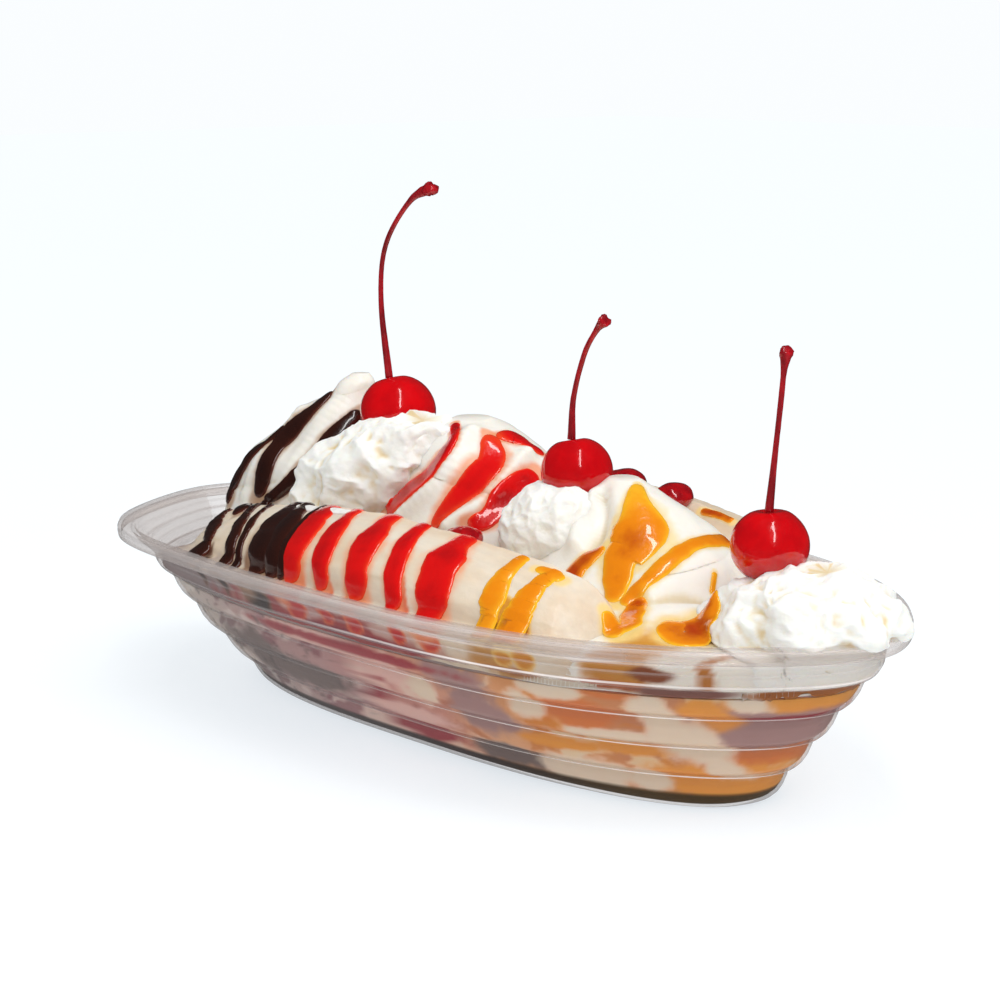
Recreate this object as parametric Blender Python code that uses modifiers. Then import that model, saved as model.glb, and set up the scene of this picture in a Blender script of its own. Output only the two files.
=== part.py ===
"""Banana split in its clear plastic boat.

Metres, +Z up. The dish is long in X, with its foot on Z = 0. The food stands on a bed of ice cream and
sauce: a split banana along each side, three soft-serve scoops between the halves, three dollops of
whipped cream, each with a cherry on its stem, and three pieces of strawberry.
"""

import math

import bmesh
import bpy
from mathutils import Vector

MM = 0.001
GAP = 0.3 * MM  # clearance between neighbouring solids
TO_MIDDLE = 0.8 * MM  # puts the middle of the whole, whose cream leans out on the right, over the origin

# Dish
FOOT_REACH = 78.8 * MM  # half length of the foot
FOOT_HALF_WIDTH = 21.6 * MM
TIERS = 4
TIER_RISE = 7.5 * MM
TIER_REACH_STEP = 6.2 * MM
TIER_WIDTH_STEP = 7.6 * MM
TIER_WIDTH_EASE = 0.33 * MM  # each tier steps out a little less than the one below
COLLAR_REACH, COLLAR_HALF_WIDTH, COLLAR_HEIGHT = 107.6 * MM, 50.4 * MM, 33.4 * MM
RIM_REACH, RIM_HALF_WIDTH, RIM_HEIGHT = 109.6 * MM, 54.0 * MM, 39.0 * MM
LIP_REACH, LIP_HALF_WIDTH, LIP_HEIGHT, LIP_DROP = 112.8 * MM, 55.2 * MM, 39.6 * MM, 2.3 * MM
LIP_SHIFT = -0.3 * MM  # the lip is a little wider at the left tip, where the dish is picked up
LIP_ROUNDING = (0.7 * MM, 0.5 * MM, 0.4 * MM)  # how far in from its edge the lip's top is, and how far down
TIER_EDGES = ((0.62, 0.8 * MM), (0.86, 2.6 * MM))  # share of the way out to the next tier, and the rise there
COLLAR_EDGE = (0.85, 0.8 * MM)
WALL = 0.9 * MM
SIDE_POWER, TIP_POWER, TIP_RADIUS = 3.0, 1.35, 13.0 * MM  # plan outline of the boat
FULLNESS = 0.055  # how much fuller the left end is at its corners than the right end
FLARE = 0.035  # how much more than that the lip flares out there
CORNER, CORNER_SPREAD = 0.71, 0.21  # where the corners are along the dish, as shares of its reach
FULL_FROM, FULL_TO = -2.0 * MM, 20.0 * MM  # the heights between which the fullness sets in
FLARE_FROM, FLARE_TO = 33.4 * MM, 38.0 * MM
RING_POINTS, RING_BIAS = 32, 1.9  # a larger bias puts more of the points on the long sides

# Bed of ice cream and sauce
BED_LEVEL = 28.0 * MM
BED_EDGE_SHARE = 0.9  # the bed's top ring, on the way out along the fourth tier
WALL_INSET = 1.3 * (WALL + GAP)  # sideways distance that keeps food clear of the sloping wall
LEDGE_LIFT = 0.6 * (WALL + GAP)  # height that keeps food clear of a tier's ledge

# Banana halves
BANANA_END = 67.0 * MM
BANANA_OFFSET = 32.0 * MM  # distance from the centre line
BANANA_RADIUS = 16.0 * MM
BANANA_AXIS_DROP = 7.4 * MM
BANANA_THINNING = 0.10  # how much thinner the ends are than the middle
BANANA_TOP = 0.10  # where along the half the axis is highest, from -1 to 1
BANANA_FACETS, BANANA_FACET_DEPTH, BANANA_FACET_ANGLE = 5, 0.025, 0.6  # a banana has five rounded sides
BANANA_CUT_DEPTH = 0.45  # how far the cut side reaches, as a share of the radius
BANANA_LEVELLING = 0.1  # roundness left where the underside is flattened on the bed, as a share of the radius
BANANA_SIDES, BANANA_STATIONS = 16, 20
# Each half: the side that it lies on, where it starts, how far it bows inwards at its ends, the length of its
# rounded ends and the height of its axis
BANANAS = {
    "banana_front": (1, -73.5 * MM, 6.6 * MM, 12.0 * MM, 36.8 * MM),
    "banana_back": (-1, -60.0 * MM, 6.0 * MM, 15.0 * MM, 38.6 * MM),
}

# Sections through each scoop from foot to tip, in millimetres: height, centre X, centre Y, radius X, radius Y
SCOOPS = {
    "scoop_left": (
        (28.4, -66, 1, 29, 31), (35, -66, 1, 30, 29), (44, -67, 2, 28.8, 20.5), (54, -67, 2, 23.8, 17.5),
        (60, -62.8, 2.7, 16.5, 12.5), (66.5, -61, 3, 11, 9), (70.4, -57.3, 3.8, 6.4, 5.6),
        (73.8, -55.2, 4.2, 4.4, 4.0), (75.8, -54.6, 4.4, 2.2, 2.2),
    ),
    "scoop_middle": (
        (28.4, -9, 4, 29, 22.5), (38, -9, 4, 30.5, 23.5), (46, -9, 4, 29, 22.5), (55, -9, 4, 24.5, 18.5),
        (62.5, -10, 3.5, 17.5, 13.5), (67, -11.4, 3.3, 11.5, 9.5), (69.9, -12, 3.2, 4.5, 4),
    ),
    "scoop_right": (
        (28.4, 54, 0, 41, 38), (36, 54, 0, 39, 36), (41, 45, 3, 28.5, 25), (49, 43, 4.8, 21.5, 17),
        (55, 41, 4.2, 14.2, 11), (59.3, 38.4, 3.6, 9.4, 7.5), (62.6, 37.6, 3.4, 3.5, 3.2),
    ),
}
# How many creases the ribbon leaves from the foot to the tip
SCOOP_TURNS = {"scoop_left": 2.4, "scoop_middle": -2.2, "scoop_right": 2.1}
RIBBON_DEPTH, RIBBON_SHARPNESS, RIBBON_MEAN = 0.10, 0.7, 0.7
RIBBON_RISE = 0.5  # how much a crease climbs in one round, in creases
SCOOP_SIDES = 24

CREAMS = {
    "cream_left": (
        (42, -40, -11, 11, 9), (46, -39.5, -11.5, 14.5, 12), (50, -38, -10.5, 17, 13),
        (55, -36, -9, 18.6, 14), (60, -32, -7.5, 17.8, 13.5), (65, -26.5, -6, 14.8, 11),
        (68, -22, -5.5, 11, 7.5), (69.6, -20, -5, 6, 4),
    ),
    "cream_middle": (
        (40, 24, -7, 4, 3.5), (43, 24, -7, 8, 6.5), (48, 24.5, -7, 10.5, 8.5), (54, 25, -6, 10.6, 8.5),
        (58, 25.5, -5, 9, 7), (60.2, 26, -4.5, 5, 4),
    ),
    "cream_right": (
        (28.4, 89, -1, 17, 15), (35, 90, -1, 19, 16), (38.5, 91.5, -1, 20.5, 16.5),
        (40.5, 92.5, -1, 21.3, 17), (43, 94, -1, 19.6, 16.5), (46, 94.8, -1, 17, 15),
        (48.6, 95.5, -1, 13.5, 12.5), (50.8, 97, -0.5, 9, 8.5), (52.4, 98.5, 0, 4, 3.5),
    ),
}
CREAM_RIDGES, RIDGE_DEPTH, RIDGE_TURN = 8, 0.07, 0.9
CREAM_SIDES = 3 * CREAM_RIDGES

# Cherries: centre, radius, and the stem's way up from the dimple as offsets from the centre, in millimetres
CHERRIES = {
    "left": (
        (-35, 0, 69.0), 9.0, ((-3.2, 0, 7.6), (-6.0, 0, 26), (-4.0, 0, 39), (5.0, 0, 49.6), (13.5, 0, 53.2)),
    ),
    "middle": (
        (26.4, 0, 62.8), 7.9, ((-1.8, 0, 6.8), (-1.2, 0, 16), (2.2, 0, 26), (6.0, 0, 31.5), (8.6, 0, 33.8)),
    ),
    "right": (
        (83.1, 0, 55.0), 8.1, ((-0.4, 0, 7.0), (0.8, 0, 18), (2.2, 0, 30), (2.8, 0, 36), (3.4, 0, 40.4)),
    ),
}
CHERRY_HEIGHT = 0.95  # a cherry is a little flatter than a ball
DIMPLE_DEPTH, DIMPLE_SPREAD = 0.17, 0.035
STEM_RADIUS = 0.55 * MM
STEM_WIDTHS = (1.5, 1.0, 0.95, 1.1, 2.7)  # from the dimple to the knob, as shares of the radius

# Strawberry pieces: centre and radii in millimetres
STRAWBERRIES = {
    "strawberry_front": ((12.5, -20.5, 50.0), (4.2, 3.6, 3.2)),
    "strawberry_far_left": ((14, 27, 54.6), (5.6, 4.8, 4.0)),
    "strawberry_far_right": ((28.6, 28, 53.8), (4.6, 4.2, 3.4)),
}


def clear_scene():
    for obj in list(bpy.data.objects):
        bpy.data.objects.remove(obj, do_unlink=True)


def mm(point):
    return Vector(point) * MM


def new_collection(name):
    collection = bpy.data.collections.new(name)
    bpy.context.scene.collection.children.link(collection)
    return collection


def material(name, color, roughness, alpha=1.0):
    made = bpy.data.materials.new(name)
    made.use_nodes = True
    shader = made.node_tree.nodes["Principled BSDF"]
    shader.inputs["Base Color"].default_value = (*color, 1)
    shader.inputs["Roughness"].default_value = roughness
    shader.inputs["Alpha"].default_value = alpha
    return made


def add_object(name, data, finish, collection):
    obj = bpy.data.objects.new(name, data)
    data.materials.append(finish)
    collection.objects.link(obj)
    return obj


def loft(name, rings, closed_end=True):
    """A closed mesh through rings that run counter-clockwise seen from the last ring's side."""
    bm = bmesh.new()
    loops = [[bm.verts.new(point) for point in ring] for ring in rings]
    count = len(loops[0])
    for low, high in zip(loops, loops[1:]):
        for i in range(count):
            j = (i + 1) % count
            bm.faces.new((low[i], low[j], high[j], high[i]))
    bm.faces.new(loops[0][::-1])
    if closed_end:
        bm.faces.new(loops[-1])
    bmesh.ops.triangulate(bm, faces=[face for face in bm.faces if len(face.verts) > 4])
    mesh = bpy.data.meshes.new(name)
    bm.to_mesh(mesh)
    bm.free()
    mesh.shade_smooth()
    mesh.set_sharp_from_angle(angle=math.radians(45))
    return mesh


def catmull_rom(rows, steps):
    """Rows of numbers blended smoothly from first to last, with this many steps between two rows."""
    first = [2 * a - b for a, b in zip(rows[0], rows[1])]
    last = [2 * a - b for a, b in zip(rows[-1], rows[-2])]
    held = [first, *rows, last]
    blended = []
    for a, b, c, d in zip(held, held[1:], held[2:], held[3:]):
        for step in range(steps):
            t = step / steps
            blended.append([
                q + 0.5 * t * (r - p + t * (2 * p - 5 * q + 4 * r - s + t * (3 * (q - r) + s - p)))
                for p, q, r, s in zip(a, b, c, d)
            ])
    return [*blended, list(rows[-1])]


def core_point(a, b, nx, ny):
    """The point of |x/a|^p + |y/b|^q = 1 that faces along (nx, ny), by bisection on x."""
    low, high = 0.0, 1.0
    for _ in range(40):
        u = (low + high) / 2
        v = (1 - u**SIDE_POWER) ** (1 / TIP_POWER)
        if SIDE_POWER * u ** (SIDE_POWER - 1) / a * ny > TIP_POWER * v ** (TIP_POWER - 1) / b * nx:
            high = u
        else:
            low = u
    return a * low, b * (1 - low**SIDE_POWER) ** (1 / TIP_POWER)


def smoothstep(low, high, value):
    """0 below low, 1 above high, and a smooth rise between them."""
    t = min(1.0, max(0.0, (value - low) / (high - low)))
    return t * t * (3 - 2 * t)


def boat_outline(reach, half_width, height, shift=0.0):
    """A ring of the boat's plan, counter-clockwise from above: a superellipse widened by a round tip.

    The corners of the left end are pushed out, more so towards the lip.
    """
    tip = min(TIP_RADIUS, 0.9 * half_width)
    push = FULLNESS * smoothstep(FULL_FROM, FULL_TO, height)
    push += FLARE * smoothstep(FLARE_FROM, FLARE_TO, height)
    ring = []
    for i in range(RING_POINTS):
        angle = 2 * math.pi * i / RING_POINTS
        facing = Vector((math.cos(angle), RING_BIAS * math.sin(angle))).normalized()
        core_x, core_y = core_point(reach - tip, half_width - tip, abs(facing.x), abs(facing.y))
        x = math.copysign(core_x, facing.x) + tip * facing.x
        y = math.copysign(core_y, facing.y) + tip * facing.y
        scale = 1 + push * math.exp(-(((-x / reach - CORNER) / CORNER_SPREAD) ** 2))
        ring.append(Vector((x * scale + shift, y * scale, height)))
    return ring


def tier(k):
    """(reach, half width, height) of the notch under tier k, counted from the foot."""
    return (
        FOOT_REACH + TIER_REACH_STEP * k,
        FOOT_HALF_WIDTH + TIER_WIDTH_STEP * k - TIER_WIDTH_EASE * k * k,
        TIER_RISE * k,
    )


def between(low, high, share, height):
    """(reach, half width, height) part of the way out from one ring to the next, at its own height."""
    return tuple(a + (b - a) * share for a, b in zip(low[:2], high[:2])) + (height,)


def wall_profile():
    """The wall from foot to rim: each tier has a ledge, a rounded edge and a nearly upright wall."""
    collar = (COLLAR_REACH, COLLAR_HALF_WIDTH, COLLAR_HEIGHT)
    profile = []
    for k in range(TIERS):
        low, high = tier(k), tier(k + 1)
        profile += [low, *(between(low, high, share, low[2] + rise) for share, rise in TIER_EDGES)]
    top = tier(TIERS)
    share, rise = COLLAR_EDGE
    rim = (RIM_REACH, RIM_HALF_WIDTH, RIM_HEIGHT)
    return [*profile, top, between(top, collar, share, top[2] + rise), collar, rim]


def make_dish(collection):
    rings = [boat_outline(*section) for section in wall_profile()]
    in_x, in_y, below = LIP_ROUNDING
    rings.append(boat_outline(LIP_REACH - in_x, LIP_HALF_WIDTH - in_y, LIP_HEIGHT - below, LIP_SHIFT))
    rings.append(boat_outline(LIP_REACH, LIP_HALF_WIDTH, LIP_HEIGHT - LIP_DROP, LIP_SHIFT))
    finish = material("clear_plastic", (0.86, 0.84, 0.84), 0.12, alpha=0.35)
    dish = add_object("dish", loft("dish", rings, closed_end=False), finish, collection)
    shell = dish.modifiers.new("wall", "SOLIDIFY")
    shell.thickness = WALL
    shell.offset = -1.0
    shell.use_even_offset = True
    return dish


def inside_rings(top):
    """Rings of the room inside the dish, clear of its wall, for each section of the wall below a height."""
    rings = []
    for reach, half_width, height in wall_profile():
        if height < top:
            lift = WALL + GAP if height == 0 else LEDGE_LIFT
            rings.append(boat_outline(reach - WALL_INSET, half_width - WALL_INSET, height + lift))
    return rings


def make_bed(collection):
    """Fills the dish just inside the wall, up to one level."""
    rings = inside_rings(BED_LEVEL - 1.5 * MM)
    reach, half_width, height = between(tier(TIERS - 1), tier(TIERS), BED_EDGE_SHARE, BED_LEVEL)
    rings.append(boat_outline(reach - WALL_INSET, half_width - WALL_INSET, height))
    finish = material("ice_cream_and_sauce", (0.62, 0.36, 0.30), 0.4)
    return add_object("bed", loft("bed", rings), finish, collection)


def make_room(cutters):
    """The space that food can take: inside the wall, and any width above the lip."""
    above = LIP_HEIGHT + WALL + 2 * GAP
    wide = 1.3 * LIP_REACH, 1.6 * LIP_HALF_WIDTH
    rings = inside_rings(above)
    rings.append(boat_outline(RIM_REACH - WALL, RIM_HALF_WIDTH - WALL, above))
    rings.append(boat_outline(*wide, above + GAP))
    rings.append(boat_outline(*wide, 3 * above))
    room = bpy.data.objects.new("room", loft("room", rings))
    room.hide_render = True
    room.display_type = "WIRE"
    cutters.objects.link(room)
    return room


def banana_ring(x, side, start, bow, round_end, axis_height):
    """The half banana's section at x: round outside, nearly flat on the cut side that faces the scoops."""
    middle, half = (start + BANANA_END) / 2, (BANANA_END - start) / 2
    off_middle = (x - middle) / half
    near_end = max(0.0, 1 - (half - abs(x - middle)) / round_end)
    radius = BANANA_RADIUS * (1 - BANANA_THINNING * off_middle**2) * math.sqrt(max(0.0, 1 - near_end**2.2))
    centre_y = -(BANANA_OFFSET - bow * off_middle**2)
    centre_z = axis_height - BANANA_AXIS_DROP * (off_middle - BANANA_TOP) ** 2
    floor = BED_LEVEL + GAP
    levelling = BANANA_LEVELLING * radius
    ring = []
    for i in range(BANANA_SIDES):
        angle = 2 * math.pi * i / BANANA_SIDES
        facet = radius * (1 + BANANA_FACET_DEPTH * math.cos(BANANA_FACETS * angle + BANANA_FACET_ANGLE))
        y = facet * math.cos(angle)
        z = centre_z + facet * math.sin(angle)
        if z < floor + levelling:
            z = floor + levelling * (1 + math.sin(angle))
        ring.append(Vector((x, side * (centre_y + (y * BANANA_CUT_DEPTH if y > 0 else y)), z)))
    return ring if side > 0 else ring[::-1]


def make_banana(name, shape, collection):
    """Half a banana, with its stations closer together towards the rounded ends."""
    side, start, *rest = shape
    rings = []
    for i in range(BANANA_STATIONS + 1):
        along = 0.5 - 0.5 * math.cos(math.pi * (0.035 + 0.93 * i / BANANA_STATIONS))
        rings.append(banana_ring(start + (BANANA_END - start) * along, side, start, *rest))
    finish = material(f"{name}_flesh", (0.82, 0.68, 0.42), 0.45)
    return add_object(name, loft(name, rings), finish, collection)


def make_scoop(name, sections, turns, collection):
    """Soft serve: one ribbon winds up the mound and draws out to the tip, with a crease between its turns."""
    levels = catmull_rom(sections, 2)
    rings = []
    for index, (z, cx, cy, rx, ry) in enumerate(levels):
        rise = index / (len(levels) - 1)
        fade = math.sin(math.pi * min(1.0, 0.25 + 0.75 * rise)) ** 0.5
        ring = []
        for i in range(SCOOP_SIDES):
            angle = 2 * math.pi * i / SCOOP_SIDES
            phase = math.pi * turns * rise - RIBBON_RISE * angle
            r = 1 + RIBBON_DEPTH * fade * (abs(math.sin(phase)) ** RIBBON_SHARPNESS - RIBBON_MEAN)
            ring.append(mm((cx + rx * r * math.cos(angle), cy + ry * r * math.sin(angle), z)))
        rings.append(ring)
    finish = material(f"{name}_ice_cream", (0.90, 0.86, 0.76), 0.4)
    return add_object(name, loft(name, rings), finish, collection)


def make_cream(name, sections, collection):
    """A piped dollop: a star section that turns as it rises."""
    levels = catmull_rom(sections, 2)
    rings = []
    for index, (z, cx, cy, rx, ry) in enumerate(levels):
        rise = index / (len(levels) - 1)
        ring = []
        for i in range(CREAM_SIDES):
            angle = 2 * math.pi * i / CREAM_SIDES + RIDGE_TURN * rise
            r = 1 + RIDGE_DEPTH * math.cos(CREAM_RIDGES * (angle - RIDGE_TURN * rise))
            ring.append(mm((cx + rx * r * math.cos(angle), cy + ry * r * math.sin(angle), z)))
        rings.append(ring)
    finish = material(f"{name}_whipped", (0.93, 0.90, 0.82), 0.5)
    return add_object(name, loft(name, rings), finish, collection)


def ball(name, centre, radii, segments, rows):
    bm = bmesh.new()
    bmesh.ops.create_uvsphere(bm, u_segments=segments, v_segments=rows, radius=1)
    for vert in bm.verts:
        vert.co = mm(centre) + mm([c * r for c, r in zip(vert.co, radii)])
    mesh = bpy.data.meshes.new(name)
    bm.to_mesh(mesh)
    bm.free()
    mesh.shade_smooth()
    return mesh


def make_cherry(name, centre, radius, dimple, collection):
    """A round fruit with a dimple where its stem goes in."""
    mesh = ball(f"cherry_{name}", centre, (radius, radius, CHERRY_HEIGHT * radius), 16, 10)
    facing = Vector(dimple).normalized()
    for vert in mesh.vertices:
        off_axis = 1 - (vert.co - mm(centre)).normalized().dot(facing)
        vert.co -= facing * radius * MM * DIMPLE_DEPTH * math.exp(-off_axis / DIMPLE_SPREAD)
    finish = material(f"cherry_{name}_skin", (0.60, 0.0, 0.01), 0.08)
    return add_object(f"cherry_{name}", mesh, finish, collection)


def make_stem(name, centre, offsets, collection):
    """A thin bent stem: a foot in the dimple, and a knob where it left the tree."""
    rows = [[*(mm(centre) + mm(offset)), width] for offset, width in zip(offsets, STEM_WIDTHS)]
    points = catmull_rom(rows, 4)
    curve = bpy.data.curves.new(f"stem_{name}", "CURVE")
    curve.dimensions = "3D"
    curve.bevel_depth = STEM_RADIUS
    curve.bevel_resolution = 1
    curve.use_fill_caps = True
    spline = curve.splines.new("POLY")
    spline.points.add(len(points) - 1)
    for point, (x, y, z, width) in zip(spline.points, points):
        point.co = (x, y, z, 1)
        point.radius = width
    finish = material(f"stem_{name}_skin", (0.24, 0.0, 0.01), 0.3)
    return add_object(f"stem_{name}", curve, finish, collection)


def keep_in(obj, room):
    kept = obj.modifiers.new("in_dish", "BOOLEAN")
    kept.operation = "INTERSECT"
    kept.object = room


def cut_by(obj, other, cutters):
    """Cuts obj by a copy of other that is one gap larger all round."""
    grown = other.data.copy()
    normals = [vertex.normal.copy() for vertex in grown.vertices]
    for vertex, normal in zip(grown.vertices, normals):
        vertex.co += normal * GAP * 1.3
    cutter = bpy.data.objects.new(f"cut_{obj.name}_{other.name}", grown)
    cutter.hide_render = True
    cutter.display_type = "WIRE"
    cutters.objects.link(cutter)
    cut = obj.modifiers.new(f"clear_{other.name}", "BOOLEAN")
    cut.operation = "DIFFERENCE"
    cut.object = cutter


def main():
    clear_scene()
    parts = new_collection("banana_split")
    cutters = new_collection("cutters")
    cutters.hide_render = True
    make_dish(parts)
    make_bed(parts)
    made = {}
    for name, shape in BANANAS.items():
        made[name] = make_banana(name, shape, parts)
    for name, sections in SCOOPS.items():
        made[name] = make_scoop(name, sections, SCOOP_TURNS[name], parts)
    for name, sections in CREAMS.items():
        made[name] = make_cream(name, sections, parts)
    for name, (centre, radius, offsets) in CHERRIES.items():
        made[f"cherry_{name}"] = make_cherry(name, centre, radius, offsets[0], parts)
        make_stem(name, centre, offsets, parts)
    for name, (centre, radii) in STRAWBERRIES.items():
        finish = material(f"{name}_flesh", (0.45, 0.0, 0.01), 0.2)
        made[name] = add_object(name, ball(name, centre, radii, 12, 8), finish, parts)
    room = make_room(cutters)
    for name in ("banana_front", "banana_back", "scoop_left", "scoop_right", "cream_right"):
        keep_in(made[name], room)
    touching = (
        ("cream_left", "cherry_left"), ("cream_middle", "cherry_middle"),
        ("cream_right", "cherry_right"), ("scoop_middle", "scoop_left"),
        ("scoop_right", "scoop_middle"), ("scoop_left", "banana_front"), ("scoop_left", "banana_back"),
        ("scoop_left", "cream_left"), ("scoop_middle", "banana_front"), ("scoop_middle", "banana_back"),
        ("scoop_middle", "cream_left"), ("scoop_middle", "cream_middle"),
        ("scoop_right", "banana_front"), ("scoop_right", "banana_back"),
        ("scoop_right", "cream_middle"), ("scoop_right", "cream_right"),
        ("scoop_right", "cherry_right"), ("scoop_left", "cherry_left"), ("scoop_middle", "cherry_left"),
        ("scoop_middle", "cherry_middle"), ("scoop_right", "cherry_middle"),
        ("strawberry_front", "banana_front"), ("strawberry_front", "scoop_middle"),
        ("strawberry_front", "cream_middle"), ("strawberry_far_left", "banana_back"),
        ("strawberry_far_right", "banana_back"), ("scoop_middle", "strawberry_far_left"),
        ("scoop_right", "strawberry_far_left"), ("scoop_right", "strawberry_far_right"),
        ("cream_left", "banana_front"), ("cream_middle", "banana_front"),
    )
    for name, other in touching:
        cut_by(made[name], made[other], cutters)
    for obj in bpy.data.objects:
        obj.location.x = TO_MIDDLE


main()
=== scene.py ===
"""Looks of the banana split: its clear stepped boat, the food and sauces in it, and the set around them.

Sizes are in millimetres in the boat's own frame: X along the boat, Y across it and away from the side that is
shown, Z up from the foot. They are turned into metres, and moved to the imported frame, when a mesh is made.
"""

import logging
import math
from dataclasses import dataclass, field
from enum import Enum
from typing import Iterable, Sequence

import bpy
import numpy as np
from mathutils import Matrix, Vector, noise


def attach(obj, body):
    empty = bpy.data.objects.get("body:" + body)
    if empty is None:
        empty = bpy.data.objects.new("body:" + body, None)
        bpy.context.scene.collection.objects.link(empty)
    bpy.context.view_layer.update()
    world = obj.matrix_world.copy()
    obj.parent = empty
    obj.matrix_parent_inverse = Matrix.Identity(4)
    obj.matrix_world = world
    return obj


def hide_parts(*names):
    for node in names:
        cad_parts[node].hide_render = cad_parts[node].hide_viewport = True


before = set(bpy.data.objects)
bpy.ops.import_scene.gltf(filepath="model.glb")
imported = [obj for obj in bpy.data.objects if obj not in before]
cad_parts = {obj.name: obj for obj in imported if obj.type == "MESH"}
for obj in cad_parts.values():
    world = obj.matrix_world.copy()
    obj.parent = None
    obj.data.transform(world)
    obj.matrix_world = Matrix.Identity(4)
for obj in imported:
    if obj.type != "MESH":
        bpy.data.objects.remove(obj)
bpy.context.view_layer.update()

log = logging.getLogger("banana_split")

MM = 0.001
TO_MIDDLE = 0.8  # the boat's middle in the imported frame, whose origin is under the middle of the whole
BODY = "root"

Colour = tuple[float, float, float]
Point = tuple[float, float, float]


# --------------------------------------------------------------------------------------------------------
# Meshes
# --------------------------------------------------------------------------------------------------------


def smoothstep(low: float, high: float, value: np.ndarray) -> np.ndarray:
    """Smooth ramp from 0 at low to 1 at high."""
    share = np.clip((value - low) / (high - low), 0.0, 1.0)
    return share * share * (3.0 - 2.0 * share)


def catmull_rom(rows: Sequence[Sequence[float]], count: int) -> np.ndarray:
    """Blend rows of numbers smoothly from first to last.

    Args:
        rows: Control rows, all of one length.
        count: Number of rows wanted.

    Returns:
        An array of shape (count, row length).
    """
    held = np.array([2 * np.array(rows[0]) - rows[1], *rows, 2 * np.array(rows[-1]) - rows[-2]], float)
    place = np.linspace(0, len(rows) - 1, count)
    step = np.minimum(place.astype(int), len(rows) - 2)
    t = (place - step)[:, None]
    a, b, c, d = (held[step + k] for k in range(4))
    return b + 0.5 * t * (c - a + t * (2 * a - 5 * b + 4 * c - d + t * (3 * (b - c) + d - a)))


def wobble(points: np.ndarray, size: float, seed: float, octaves: int = 3) -> np.ndarray:
    """Smooth noise of about -1 to 1 at each point.

    Args:
        points: Places in millimetres, shape (n, 3).
        size: Size of the largest bumps in millimetres.
        seed: Offset that makes one noise differ from another.
        octaves: Levels of ever finer bumps.

    Returns:
        One number for each point.
    """
    shift = Vector((seed * 7.31, seed * 3.17, seed * 5.71))
    places = points.reshape(-1, 3)
    return np.array([noise.fractal(Vector(place) / size + shift, 0.9, 2.1, octaves) for place in places])


def ridges(points: np.ndarray, size: float, seed: float) -> np.ndarray:
    """Noise with sharp crests, from about 0 in the hollows to 1 on the crests."""
    shift = Vector((seed * 4.7, seed * 9.1, seed * 2.3))
    made = [1 - abs(noise.noise(Vector(p) / size + shift)) * 1.8 for p in points.reshape(-1, 3)]
    return np.clip(np.array(made), 0.0, 1.0)


def make_mesh(name: str, points: np.ndarray, faces: Iterable[Sequence[int]]) -> bpy.types.Mesh:
    """Turn millimetre points and faces into a smooth-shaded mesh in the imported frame."""
    placed = (np.asarray(points, float).reshape(-1, 3) + (TO_MIDDLE, 0.0, 0.0)) * MM
    mesh = bpy.data.meshes.new(name)
    mesh.from_pydata(placed.tolist(), [], [tuple(face) for face in faces])
    mesh.validate()
    mesh.shade_smooth()
    return mesh


def ring_faces(
    levels: int, count: int, first_cap: bool = True, last_cap: bool = True
) -> list[tuple[int, ...]]:
    """Faces of a tube of rings whose caps are fans round a last and a first extra point.

    Args:
        levels: Number of rings.
        count: Points on each ring.
        first_cap: Whether point number levels * count closes the first ring.
        last_cap: Whether the point after it closes the last ring.

    Returns:
        Faces that point outwards when the rings run counter-clockwise seen from the last ring's side.
    """
    faces = []
    for level in range(levels - 1):
        low, high = level * count, (level + 1) * count
        faces += [(low + i, low + (i + 1) % count, high + (i + 1) % count, high + i) for i in range(count)]
    apex = levels * count
    if first_cap:
        faces += [(apex, (i + 1) % count, i) for i in range(count)]
        apex += 1
    if last_cap:
        top = (levels - 1) * count
        faces += [(apex, top + i, top + (i + 1) % count) for i in range(count)]
    return faces


def loft(name: str, rings: np.ndarray, first_cap: bool = True, last_cap: bool = True) -> bpy.types.Mesh:
    """Skin over rings of points.

    Args:
        name: Name of the mesh.
        rings: Millimetre points, shape (levels, points on a ring, 3).
        first_cap: Whether the first ring is closed.
        last_cap: Whether the last ring is closed.

    Returns:
        The mesh, with its faces outwards.
    """
    levels, count = rings.shape[:2]
    points = [rings.reshape(-1, 3)]
    if first_cap:
        points.append(rings[:1].mean(axis=1))
    if last_cap:
        points.append(rings[-1:].mean(axis=1))
    return make_mesh(name, np.concatenate(points), ring_faces(levels, count, first_cap, last_cap))


def points_of(mesh: bpy.types.Mesh) -> np.ndarray:
    """The mesh's points in millimetres in the boat's frame."""
    flat = np.empty(len(mesh.vertices) * 3)
    mesh.vertices.foreach_get("co", flat)
    return flat.reshape(-1, 3) / MM - (TO_MIDDLE, 0.0, 0.0)


def normals_of(mesh: bpy.types.Mesh) -> np.ndarray:
    """The mesh's point normals."""
    flat = np.empty(len(mesh.vertices) * 3)
    mesh.vertices.foreach_get("normal", flat)
    return flat.reshape(-1, 3)


def move_points(mesh: bpy.types.Mesh, points: np.ndarray) -> None:
    """Put the mesh's points at these millimetre places."""
    mesh.vertices.foreach_set("co", ((points + (TO_MIDDLE, 0.0, 0.0)) * MM).astype(np.float32).ravel())
    mesh.update()


def swell(mesh: bpy.types.Mesh, amounts: np.ndarray) -> None:
    """Move each point along its normal by its own amount in millimetres."""
    move_points(mesh, points_of(mesh) + normals_of(mesh) * amounts[:, None])


def store_colour(mesh: bpy.types.Mesh, name: str, colours: np.ndarray) -> None:
    """Store a colour for each point, for a material to read."""
    layer = mesh.color_attributes.new(name, "FLOAT_COLOR", "POINT")
    layer.data.foreach_set("color", np.c_[colours, np.ones(len(colours))].astype(np.float32).ravel())


def store_value(mesh: bpy.types.Mesh, name: str, values: np.ndarray) -> None:
    """Store a number for each point, for a material or a node tree to read."""
    layer = mesh.attributes.new(name, "FLOAT", "POINT")
    layer.data.foreach_set("value", np.asarray(values, np.float32))


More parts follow.
